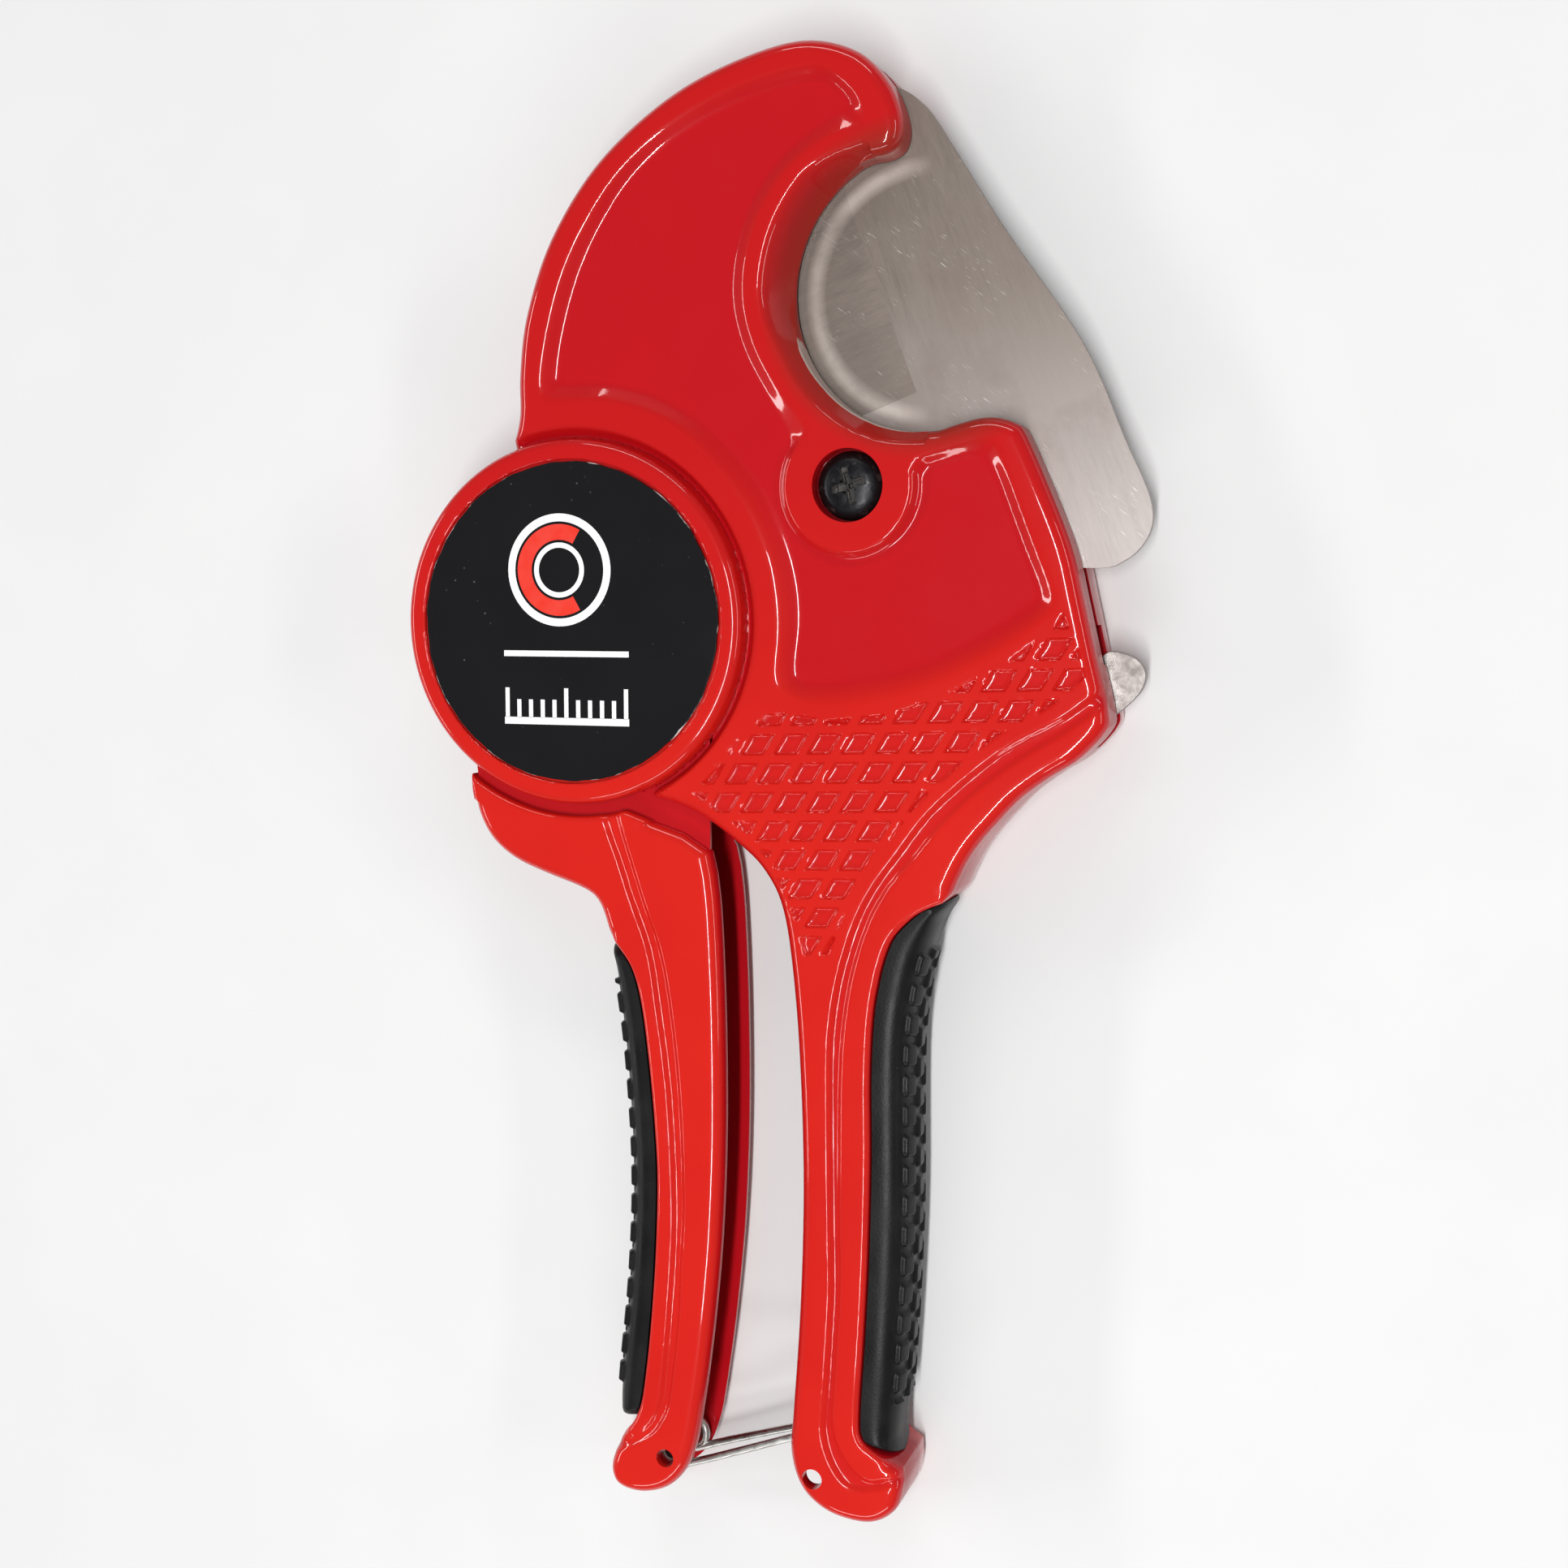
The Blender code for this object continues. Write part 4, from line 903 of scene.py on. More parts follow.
def bump_field(along, around, columns, width, span):
    """Raised rounded squares: columns lists (place round the section, stagger)."""
    relief = np.zeros(along.shape)
    for centre, stagger in columns:
        phase = (along - span[0] + stagger * BUMP_PITCH) / BUMP_PITCH
        from_middle = (phase - np.floor(phase) - 0.5) * BUMP_PITCH
        past = np.abs(from_middle) - BUMP_LENGTH / 2 + BUMP_CORNER
        aside = np.abs(around - centre) - width / 2 + BUMP_CORNER
        gap = BUMP_CORNER - np.hypot(np.maximum(past, 0.0), np.maximum(aside, 0.0))
        gap -= np.minimum(np.maximum(past, aside), 0.0)
        relief = np.maximum(relief, ease(gap / BUMP_WALL + 0.1))
    return relief * (along > span[0]) * (along < span[1])


def path_length(points, axis):
    """Length along a grid of points, from its first row or column."""
    steps = np.linalg.norm(np.diff(points, axis=axis), axis=-1)
    start = np.zeros_like(np.take(steps, [0], axis=axis))
    return np.concatenate([start, np.cumsum(steps, axis=axis)], axis=axis)


def rail(knots):
    """Stations along a curve through the knots."""
    line = resample(smooth(knots), 0.05, closed=False)
    return np.array([line[int(s * (len(line) - 1))] for s in np.linspace(0.0, 1.0, GRIP_STATIONS)])


def grip_section():
    """Shares of a grip's depth and height: a flat shoulder, a rounded side and a flat shoulder."""
    turn = np.radians(np.linspace(90.0, -90.0, 111))
    power = 2.0 / GRIP_SQUARENESS
    side = GRIP_FLAT + (1.0 - GRIP_FLAT) * np.abs(np.cos(turn)) ** power
    climb = np.sign(turn) * np.abs(np.sin(turn)) ** power
    shoulder = np.linspace(0.0, GRIP_FLAT, 7)[:-1]
    full = np.ones(len(shoulder))
    return np.concatenate([shoulder, side, shoulder[::-1]]), np.concatenate([full, climb, -full])


def outward_normals(points, outward):
    """Normals of a grid of points, on the side that its middle column faces."""
    normal = np.cross(np.gradient(points, axis=0), np.gradient(points, axis=1))
    normal /= np.maximum(np.linalg.norm(normal, axis=2), 1e-9)[:, :, None]
    middle = points.shape[1] // 2
    facing = np.sum(normal[:, middle, :2] * outward[:, middle])
    return -normal if facing < 0.0 else normal


def grip(name, node, border, outside, columns, bump_width, span):
    """A rubber pad lofted from its border to its outside, with rounded ends and bumps."""
    inner, outer = rail(border), rail(outside)
    length = path_length(outer, 0)
    to_end = np.minimum(length, length[-1] - length)
    closing = 1.0 - np.clip(to_end / GRIP_END, 0.0, 1.0)
    taper = (1.0 - closing ** GRIP_END_POWER) ** (1 / GRIP_END_POWER)
    taper = np.maximum(taper, GRIP_END_HEIGHT)
    out, rise = grip_section()
    height = np.where(rise > 0.0, rise * level(node, 1), -rise * level(node, 0))
    points = np.zeros((GRIP_STATIONS, len(out), 3))
    points[:, :, :2] = inner[:, None] + (outer - inner)[:, None] * out[None, :, None]
    points[:, :, 2] = height[None] * taper[:, None]
    around = path_length(points, 1)
    around -= around[:, len(out) // 2][:, None]
    relief = bump_field(length[:, None] + 0.0 * around, around, columns, bump_width, span)
    normal = outward_normals(points, points[:, :, :2] - inner[:, None])
    settled = ease(to_end / GRIP_END)[:, None] * BUMP_SUNK
    points += normal * (BUMP_HEIGHT * (relief - settled))[:, :, None]
    pad = skin(name, points.reshape(-1, 3), len(out))
    shape = bmesh.new()
    shape.from_mesh(pad.data)
    bmesh.ops.recalc_face_normals(shape, faces=shape.faces)
    shape.to_mesh(pad.data)
    shape.free()
    return shade(pad, 80.0)


def fixed_grip():
    border = [(x + GAP, y) for x, y in FIXED_GRIP_BORDER]
    outside = [(x - GRIP_SET_IN, y) for x, y in FIXED_GRIP_OUTSIDE[::-1]]
    columns = [(-3.75, 0.0), (0.3, 0.5), (4.35, 0.0)]
    return grip("fixed_grip_pad", "fixed_grip", border, outside, columns, 3.3, (8.0, 78.0))


def moving_grip():
    border = [(x - GAP, y) for x, y in MOVING_GRIP_BORDER]
    columns = [(-4.8, 0.0), (-1.4, 0.5), (2.0, 0.0), (5.4, 0.5)]
    return grip("moving_grip_pad", "moving_grip", border, MOVING_GRIP_OUTSIDE[::-1], columns, 2.75,
                (6.0, 72.0))


# ---------------------------------------------------------------- blade and small pieces

def bevel_cutter(side):
    """A wedge whose face is the ground facet on one side of the cutting edge."""
    corner = Vector(BEVEL_CORNER + (0.0,))
    along = Vector(polar(HUB, 1.0, BEVEL_ANGLE) + (0.0,))
    across = Vector(polar(HUB, 1.0, BEVEL_ANGLE + 90.0) + (0.0,))
    fall = (BLADE_HALF - EDGE_HALF) / BEVEL_WIDTH
    points = []
    for run in (0.0, BEVEL_LENGTH):
        for reach, height in (
            (0.0, BLADE_HALF), (FACET_CUTTER_REACH, BLADE_HALF - FACET_CUTTER_REACH * fall),
            (FACET_CUTTER_REACH, FACET_CUTTER_TOP), (0.0, FACET_CUTTER_TOP),
        ):
            spot = corner + along * run + across * reach
            points.append((spot.x, spot.y, side * height))
    faces = [[0, 1, 2, 3], [7, 6, 5, 4], [0, 4, 5, 1], [1, 5, 6, 2], [2, 6, 7, 3], [3, 7, 4, 0]]
    if side > 0:
        faces = [face[::-1] for face in faces]
    return add_mesh("cut_facet", points, faces)


def blade():
    """The plate, with its facets in a second material slot."""
    plate = block("blade_plate", resample(blade_outline(), 0.6), -BLADE_HALF, BLADE_HALF)
    cuts = [block("cut_bore", circle(BLADE_PIVOT, BUSHING_RADIUS + GAP, 72), -5.0, 5.0)]
    for angle in (215.0, -35.0):
        spot = polar(BLADE_PIVOT, RIVET_REACH, angle)
        cuts.append(block("cut_rivet", circle(spot, RIVET_RADIUS + GAP, 40), -5.0, 5.0))
    cuts += [bevel_cutter(1.0), bevel_cutter(-1.0)]
    join_and_cut(plate, [], cuts)
    soften(plate, 0.12)
    plate.data.materials.append(MATERIALS["blade"])
    plate.data.materials.append(MATERIALS["facet"])
    across = np.array(polar(HUB, 1.0, BEVEL_ANGLE + 90.0))
    for face in plate.data.polygons:
        centre = (np.array(face.center[:2]) - np.array(AXIS[:2])) / MM - np.array(BEVEL_CORNER)
        face.material_index = int(centre @ across > 0.0)
    return shade(plate, 1.0)


def pivot_screw():
    """Pan head with a tapered cross recess, on a plain shank."""
    dome = [(0.0, 6.9), (1.2, 6.88), (2.4, 6.78), (3.4, 6.55), (4.2, 6.18), (4.75, 5.72),
            (5.02, 5.3), (SCREW_HEAD_RADIUS, 4.9), (SCREW_HEAD_RADIUS, 4.55), (5.0, 4.5),
            (SCREW_RADIUS, 4.5), (SCREW_RADIUS, -8.0), (2.7, -8.4), (0.0, -8.4)]
    screw = turned("pivot_screw", BLADE_PIVOT, dome)
    cuts = []
    for angle in (16.0, 106.0):
        for name, reach, half, low in (("wide", 2.75, 0.62, 5.9), ("deep", 2.0, 0.45, 5.0)):
            slot = [polar(BLADE_PIVOT, math.hypot(x, y), angle + math.degrees(math.atan2(y, x)))
                    for x, y in rectangle(0.0, 0.0, 2.0 * reach, 2.0 * half)]
            cuts.append(block("cut_cross_" + name, slot, low, 9.0))
    middle = [(0.0, 7.6), (1.75, 7.5), (0.95, 6.0), (0.4, 4.6), (0.0, 4.5)]
    cuts.append(turned("cut_cross_middle", BLADE_PIVOT, middle, 4, 61.0))
    join_and_cut(screw, [], cuts)
    soften(screw, 0.1)
    return shade(screw, 40.0)


def pivot_nut():
    """Hexagon nut with chamfered corners."""
    nut = block("pivot_nut", arc(BLADE_PIVOT, 6.0, 0.0, 300.0, 5), -8.3, -6.2)
    bore = block("cut_bore", circle(BLADE_PIVOT, SCREW_RADIUS + GAP, 64), -12.0, 0.0)
    join_and_cut(nut, [], [bore])
    soften(nut, 0.28, 3)
    return shade(nut, 14.0)


def pivot_pin():
    pin = [(0.0, 7.8), (7.5, 7.8), (7.85, 7.7), (8.0, 7.45), (8.0, 7.1), (PIN_RADIUS, 7.1),
           (PIN_RADIUS, -7.4), (4.2, -7.4), (4.2, -8.15), (PIN_RADIUS, -8.15), (PIN_RADIUS, -8.4),
           (4.85, -8.5), (0.0, -8.5)]
    return shade(turned("pivot_pin", HUB, pin), 35.0)


def retaining_ring():
    """An open ring with two eyes for the pliers."""
    clip = arc(HUB, 7.6, 25.0, 335.0, 90) + arc(HUB, 4.6, 335.0, 25.0, 90)
    ring = block("retaining_ring", clip, -7.95, -7.6)
    holes = [block("cut_eye", circle(polar(HUB, 6.3, angle), 0.65, 32), -9.0, -7.0)
             for angle in (36.0, 324.0)]
    join_and_cut(ring, [], holes)
    soften(ring, 0.06)
    return shade(ring, 14.0)


def release_lever():
    nose = polar(BLADE_PIVOT, TOOTH_TIP + 0.35, -60.0)
    knots = [(nose[0] + 0.2, nose[1] - 0.3), (64.0, -3.9), (70.0, -5.6), (76.0, -6.4), (79.4, -5.6),
             (81.4, -3.9), (84.9, -4.7), (86.5, -6.4), (86.6, -8.2), (85.6, -10.2), (82.6, -13.0),
             (79.0, -14.9), (74.0, -15.4), (69.0, -13.6), (63.0, -8.6), (nose[0] - 0.4, nose[1] - 2.6)]
    lever = block("release_tab", resample(smooth(knots), 0.35), level("release_lever", 0),
                  level("release_lever", 1))
    bore = block("cut_bore", circle(LEVER_PIVOT, LEVER_PIN_RADIUS + GAP, 48), -9.0, 9.0)
    join_and_cut(lever, [], [bore])
    soften(lever, 0.22, 3)
    return shade(lever, 14.0)


def latch_wire():
    """One wire: an eye round the spacer, out to the bail behind the catch, and back."""
    end = (CATCH_X + 3.0, -124.6)
    reach = math.hypot(end[0] - LATCH_PIVOT[0], end[1] - LATCH_PIVOT[1])
    aim = math.degrees(math.atan2(end[1] - LATCH_PIVOT[1], end[0] - LATCH_PIVOT[0]))
    leave = aim - math.degrees(math.acos(WIRE_EYE / reach))
    eye = arc(LATCH_PIVOT, WIRE_EYE, leave + WIRE_EYE_TURN, leave, 40)
    start = np.array(eye[-1])
    run = np.array(end) - start
    half = [(x, y, WIRE_SPREAD) for x, y in eye]
    straight = 0.9
    for i in range(1, 13):
        share = straight * i / 12
        spread = WIRE_SPREAD + (BAIL_HALF - WIRE_SPREAD) * float(ease((share - 0.15) / 0.75))
        half.append(tuple(start + run * share) + (spread,))
    bend = []
    for i in range(1, 20):
        turn = math.pi * i / 20
        share = straight + (1.0 - straight) * math.sin(turn)
        bend.append(tuple(start + run * share) + (BAIL_HALF * math.cos(turn),))
    path = half + bend + [(x, y, -z) for x, y, z in reversed(half)]
    return tube("latch_bail", np.array(path), WIRE_RADIUS, 20)


def tube(name, path, radius, sides):
    """A round wire with flat ends."""
    ahead = np.gradient(path, axis=0)
    ahead /= np.linalg.norm(ahead, axis=1)[:, None]
    normal = np.array([0.0, 0.0, 1.0])
    points = []
    for spot, direction in zip(path, ahead):
        normal = normal - direction * (normal @ direction)
        normal /= np.linalg.norm(normal)
        side = np.cross(direction, normal)
        for k in range(sides):
            turn = 2.0 * math.pi * k / sides
            points.append(spot + radius * (normal * math.cos(turn) + side * math.sin(turn)))
    return shade(skin(name, points, sides), 40.0)


# The label's uneven edge: each wave's size, count round the edge, and phase
LABEL_EDGE = ((0.05, 9, 0.7), (0.04, 23, 0.0), (0.03, 41, 2.0))


def hub_label():
    """Printed film with a slightly uneven cut edge."""
    loop = []
    for k in range(360):
        turn = math.radians(k)
        wobble = sum(size * math.sin(waves * turn + phase) for size, waves, phase in LABEL_EDGE)
        loop.append(polar(HUB, LABEL_RADIUS - 0.08 + wobble, k))
    film = block("label_film_disc", loop, level("hub_label", 0), HUB_FRONT)
    soften(film, 0.08)
    return shade(film, 14.0)


def flat_print(name, outlines, lift=0.02):
    """Thin ink on the label: each outline is a closed loop."""
    pieces = [block(name, outline, HUB_FRONT - 0.05, HUB_FRONT + lift) for outline in outlines]
    whole = pieces[0]
    join = bmesh.new()
    for piece in pieces:
        join.from_mesh(piece.data)
    join.to_mesh(whole.data)
    join.free()
    for piece in pieces[1:]:
        discard(piece)
    return whole


def ring_sector(centre, inner, outer, start, end):
    return arc(centre, outer, start, end, 48) + arc(centre, inner, end, start, 48)


def label_prints():
    """A pipe cut through, and a plain scale below it."""
    middle = (-1.5, 8.0)
    white = [ring_sector(middle, inner, outer, start, start + 180.0)
             for inner, outer in ((7.4, 8.6), (3.4, 4.2)) for start in (0.0, 180.0)]
    white.append(rectangle(-0.5, -4.8, 21.0, 0.9))
    white.append(rectangle(-0.5, -15.2, 21.0, 1.1))
    for k in range(11):
        tall = 4.6 if k % 5 == 0 else 2.8
        white.append(rectangle(-10.5 + 2.0 * k, -14.7 + tall / 2, 0.7, tall))
    red = [ring_sector(middle, 4.6, 7.0, 60.0, 180.0), ring_sector(middle, 4.6, 7.0, 180.0, 300.0)]
    return flat_print("label_print_white", white), flat_print("label_print_red", red)


# ---------------------------------------------------------------- materials

class Look:
    """A node material built round one Principled shader."""

    def __init__(self, name, colour, roughness, metallic=0.0, **values):
        self.material = bpy.data.materials.new(name)
        self.material.use_nodes = True
        self.material.diffuse_color = colour + (1.0,)
        self.tree = self.material.node_tree
        self.shader = self.tree.nodes["Principled BSDF"]
        self.shader.inputs["Base Color"].default_value = colour + (1.0,)
        self.shader.inputs["Roughness"].default_value = roughness
        self.shader.inputs["Metallic"].default_value = metallic
        for socket, value in values.items():
            self.shader.inputs[socket.replace("_", " ")].default_value = value
        self.place = self.node("ShaderNodeTexCoord").outputs["Object"]

    def node(self, kind, **settings):
        made = self.tree.nodes.new(kind)
        for key, value in settings.items():
            setattr(made, key, value)
        return made

    def link(self, source, target):
        self.tree.links.new(source, target)

    def drive(self, socket, source):
        self.link(source, self.shader.inputs[socket])

    def stretched(self, scale, turn=0.0):
        """Object coordinates, turned about Z and scaled."""
        turner = self.node("ShaderNodeMapping")
        turner.inputs["Rotation"].default_value = (0.0, 0.0, math.radians(turn))
        self.link(self.place, turner.inputs["Vector"])
        scaler = self.node("ShaderNodeMapping")
        scaler.inputs["Scale"].default_value = scale
        self.link(turner.outputs[0], scaler.inputs["Vector"])
        return scaler.outputs[0]

    def noise(self, scale, detail=3.0, place=None, rough=0.5):
        made = self.node("ShaderNodeTexNoise")
        made.inputs["Scale"].default_value = scale
        made.inputs["Detail"].default_value = detail
        made.inputs["Roughness"].default_value = rough
        self.link(place or self.place, made.inputs["Vector"])
        return made.outputs["Fac"]

    def dots(self, scale, near, far, strength):
        """Small dots, fading out between two distances from their centres."""
        made = self.node("ShaderNodeTexVoronoi")
        made.inputs["Scale"].default_value = scale
        self.link(self.place, made.inputs["Vector"])
        return self.spread(made.outputs["Distance"], near, far, strength, 0.0)

    def spread(self, source, low, high, to_low=0.0, to_high=1.0):
        """A value's range from low to high, mapped to another."""
        made = self.node("ShaderNodeMapRange", clamp=True)
        limits = {"From Min": low, "From Max": high, "To Min": to_low, "To Max": to_high}
        for name, value in limits.items():
            made.inputs[name].default_value = value
        self.link(source, made.inputs["Value"])
        return made.outputs[0]

    def patches(self, scale, detail, low, high, to_low=0.0, to_high=1.0, rough=0.5):
        """Noise, mapped from low to high."""
        return self.spread(self.noise(scale, detail, rough=rough), low, high, to_low, to_high)

    def math(self, operation, first, second):
        made = self.node("ShaderNodeMath", operation=operation)
        for k, value in enumerate((first, second)):
            if isinstance(value, (int, float)):
                made.inputs[k].default_value = value
            else:
                self.link(value, made.inputs[k])
        return made.outputs[0]

    def product(self, first, *others):
        for other in others:
            first = self.math("MULTIPLY", first, other)
        return first

    def blend(self, share, first, second):
        """A mix of two colours, each a colour or an output."""
        made = self.node("ShaderNodeMix", data_type="RGBA")
        self.link(share, made.inputs[0])
        for k, value in ((6, first), (7, second)):
            if isinstance(value, tuple):
                made.inputs[k].default_value = value + (1.0,)
            else:
                self.link(value, made.inputs[k])
        return made.outputs[2]

    def split(self):
        """The object coordinates along X, Y and Z."""
        made = self.node("ShaderNodeSeparateXYZ")
        self.link(self.place, made.inputs[0])
        return made.outputs

    def axis_distance(self, centre):
        """Distance in metres from a line along Z through a place about the hub."""
        place = self.split()
        across = self.math("SUBTRACT", place[0], AXIS.x + centre[0] * MM)
        along = self.math("SUBTRACT", place[1], AXIS.y + centre[1] * MM)
        square = self.math("ADD", self.product(across, across), self.product(along, along))
        return self.math("SQRT", square, 0.0)

    def bump(self, source, strength, distance, under=None):
        made = self.node("ShaderNodeBump")
        made.inputs["Strength"].default_value = strength
        made.inputs["Distance"].default_value = distance
        self.link(source, made.inputs["Height"])
        if under is not None:
            self.link(under, made.inputs["Normal"])
        return made.outputs[0]

    def finish(self, colour, roughness, normal=None):
        """Drives the shader and hands over the material."""
        self.drive("Base Color", colour)
        self.drive("Roughness", roughness)
        if normal is not None:
            self.drive("Normal", normal)
        return self.material


def jaw_metal_and_painted_reflection(look, height, colour, rough):
    """Paint along the jaw with a painted darker brown reflection of the blade, rubbed through to the
    metal on its lower wall.
    """
    reach = look.axis_distance(JAW)
    # Painted reflection: the blade's darker brown reflection on the jaw's sloped wall.
    painted_jaw_reflection = look.spread(reach, 0.0212, 0.0248, 0.8, 0.0)
    colour = look.blend(painted_jaw_reflection, colour, (0.24, 0.018, 0.011))
    wall = look.spread(reach, 0.02075, 0.0211, 1.0, 0.0)
    middle = AXIS.y + JAW[1] * MM
    low_side = look.spread(look.split()[1], middle - 0.009, middle - 0.003, 1.0, 0.0)
    near = look.spread(height, 0.0046, 0.0056, 1.0, 0.0)
    uneven = look.product(look.patches(260.0, 5.0, 0.36, 0.6), 0.3)
    bare = look.math("ADD", look.product(wall, low_side, near), uneven)
    bare = look.spread(bare, 0.82, 0.98)
    look.drive("Metallic", look.product(bare, 0.4))
    rough = look.math("ADD", rough, look.product(bare, 0.12))
    return look.blend(bare, colour, (0.44, 0.345, 0.31)), rough


def paint_look(name, with_jaw):
    """Glossy enamel, slightly dimpled, with painted light and shade: brighter on the raised borders,
    painted shade in the hollows and down the walls, and darker up the tool.
    """
    look = Look(name, (0.74, 0.02, 0.013), 0.3, Coat_Weight=0.85,
                Coat_IOR=1.42, Coat_Roughness=0.05, Specular_IOR_Level=0.05)
    height = look.math("ABSOLUTE", look.math("SUBTRACT", look.split()[2], AXIS.z), 0.0)
    # Painted shade: the raised borders turn darker up the tool towards the hook, as the light falls off.
    painted_falloff_up_the_tool = look.spread(look.split()[1], AXIS.y - 0.030, AXIS.y + 0.025)
    border = look.blend(painted_falloff_up_the_tool, (0.57, 0.013, 0.007), (0.46, 0.006, 0.007))
    # Painted shade: the sunk panels and hollows get a darker red than the raised faces.
    colour = look.blend(look.spread(height, 0.0059, 0.0070), (0.43, 0.004, 0.009), border)
    # Painted shade: a still darker red down the side walls and the jaw's slope.
    wall = look.spread(height, 0.0040, 0.0056, 1.0, 0.0)
    colour = look.blend(wall, colour, (0.31, 0.004, 0.010))
    look.drive("Coat Weight", look.spread(height, 0.0035, 0.0056, 0.4, 0.85))
    cloudy = look.patches(45.0, 3.0, 0.3, 0.7, 0.0, 0.35)
    colour = look.blend(cloudy, colour, (0.45, 0.005, 0.006))
    specks = look.product(look.dots(300.0, 0.015, 0.04, 1.0), look.patches(60.0, 1.0, 0.62, 0.68), 0.35)
    colour = look.blend(specks, colour, (0.22, 0.006, 0.006))
    rough = look.patches(120.0, 4.0, 0.25, 0.75, 0.24, 0.36)
    if with_jaw:
        colour, rough = jaw_metal_and_painted_reflection(look, height, colour, rough)
    peel = look.bump(look.noise(330.0, 2.0), 0.10, 0.00025)
    return look.finish(colour, rough, look.bump(look.noise(1900.0, 2.0), 0.05, 0.0001, peel))


def rubber_look():
    """Satin rubber with a fine grain, dust and lint."""
    look = Look("moulded_rubber", (0.010, 0.010, 0.011), 0.40, Specular_IOR_Level=0.2)
    dust = look.patches(90.0, 6.0, 0.45, 0.8, rough=0.65)
    colour = look.blend(dust, (0.004, 0.004, 0.0042), (0.011, 0.011, 0.0114))
    colour = look.blend(look.dots(700.0, 0.02, 0.07, 0.5), colour, (0.07, 0.07, 0.07))
    grain = look.bump(look.noise(2600.0, 3.0), 0.25, 0.00012)
    return look.finish(colour, look.patches(160.0, 4.0, 0.3, 0.7, 0.33, 0.46), grain)


def steel_look(name, turn, light, dark, stain, worn):
    """Ground steel: fine lines along one direction, faint stains and scratches, a painted brighter
    reflection towards the heel and a painted bright arc along the jaw.
    """
    look = Look(name, light, 0.5, 1.0)
    lines = look.noise(1.0, 4.0, look.stretched((7000.0, 420.0, 7000.0), -turn), 0.6)
    broad = look.noise(1.0, 3.0, look.stretched((900.0, 90.0, 900.0), -turn), 0.5)
    mixed = look.math("ADD", look.product(lines, 0.65), look.product(broad, 0.35))
    colour = look.blend(look.spread(mixed, 0.3, 0.7), dark, light)
    # Painted reflection: the blade turns lighter towards the heel, in the colour passed in as worn.
    painted_light_to_heel = look.spread(look.split()[1], AXIS.y + 0.014, AXIS.y + 0.050, 1.0, 0.0)
    colour = look.blend(look.product(painted_light_to_heel, look.spread(mixed, 0.2, 0.8, 0.7, 1.0)), colour, worn)
    colour = look.blend(look.patches(55.0, 4.0, 0.5, 0.72, 0.0, 0.55, rough=0.6), colour, stain)
    marks = look.noise(1.0, 2.0, look.stretched((420.0, 6000.0, 3000.0), 38.0))
    scratch = look.product(look.spread(marks, 0.65, 0.71), look.patches(150.0, 2.0, 0.52, 0.62), 0.7)
    colour = look.blend(scratch, colour, (0.60, 0.59, 0.58))
    # Painted reflection: a bright arc on the blade along the jaw.
    colour = look.blend(painted_arc_reflection(look), colour, (0.54, 0.48, 0.44))
    return look.finish(colour, look.spread(mixed, 0.3, 0.7, 0.46, 0.60), look.bump(mixed, 0.15, 0.00004))


def painted_arc_reflection(look):
    """A painted bright reflection on the blade: an arc along the jaw."""
    reach = look.axis_distance(JAW)
    middle = AXIS.x + JAW[0] * MM
    beside = look.spread(look.split()[0], middle - 0.005, middle, 1.0, 0.0)
    return look.product(look.spread(reach, 0.0163, 0.0178),
                        look.spread(reach, 0.0184, 0.0196, 1.0, 0.0), beside,
                        look.patches(140.0, 4.0, 0.3, 0.6, 0.35, 0.85))


def metal_look(name, colour, dark, rough):
    """Small hardware: tumbled metal with darker patches."""
    look = Look(name, colour, rough, 1.0)
    return look.finish(look.blend(look.patches(600.0, 4.0, 0.4, 0.7), colour, dark),
                       look.patches(900.0, 3.0, 0.3, 0.7, rough * 0.8, rough * 1.25),
                       look.bump(look.noise(2400.0, 3.0), 0.15, 0.00008))


def oxide_look():
    """Black oxide, worn brighter in places and where the driver turns in the cross."""
    look = Look("black_oxide_finish", (0.02, 0.02, 0.022), 0.35, 0.75)
    worn = look.patches(520.0, 5.0, 0.56, 0.74, rough=0.65)
    colour = look.blend(worn, (0.014, 0.014, 0.016), (0.11, 0.10, 0.095))
    driven = look.spread(look.axis_distance(BLADE_PIVOT), 0.0022, 0.0031, 1.0, 0.0)
    below = look.spread(look.split()[2], AXIS.z + 0.0064, AXIS.z + 0.0067, 1.0, 0.0)
    bright = look.product(driven, below, look.spread(worn, 0.0, 1.0, 0.25, 0.8))
    return look.finish(look.blend(bright, colour, (0.20, 0.185, 0.17)),
                       look.patches(800.0, 3.0, 0.3, 0.7, 0.26, 0.46),
                       look.bump(look.noise(1500.0, 3.0), 0.2, 0.0001))


def film_look():
    """Glossy black film with dust and a paler broken edge."""
    black = (0.006, 0.006, 0.007)
    look = Look("label_film_finish", black, 0.14, Specular_IOR_Level=0.4)
    ragged = look.math("ADD", look.axis_distance(HUB), look.product(look.noise(330.0, 5.0), 0.0009))
    dust = look.product(look.dots(520.0, 0.03, 0.10, 0.6), look.patches(110.0, 3.0, 0.46, 0.6))
    colour = look.blend(dust, black, (0.16, 0.16, 0.16))
    return look.finish(look.blend(look.spread(ragged, 0.02488, 0.02498), colour, (0.55, 0.52, 0.50)),
                       look.patches(70.0, 4.0, 0.3, 0.7, 0.10, 0.22),
                       look.bump(look.noise(260.0, 3.0), 0.06, 0.0002))


def ink_look(name, colour):
    """Printed ink, worn darker in places."""
    look = Look(name, colour, 0.4)
    worn = look.patches(900.0, 5.0, 0.62, 0.78, 0.0, 0.5, rough=0.7)
    return look.finish(look.blend(worn, colour, tuple(0.55 * c for c in colour)),
                       look.patches(400.0, 3.0, 0.3, 0.7, 0.3, 0.5))


def floor_look():
    grey = (0.66, 0.66, 0.66)
    look = Look("pale_floor", grey, 0.8)
    faint = look.patches(30.0, 4.0, 0.3, 0.7)
    look.drive("Base Color", look.blend(faint, grey, (0.68, 0.68, 0.68)))
    return look.material


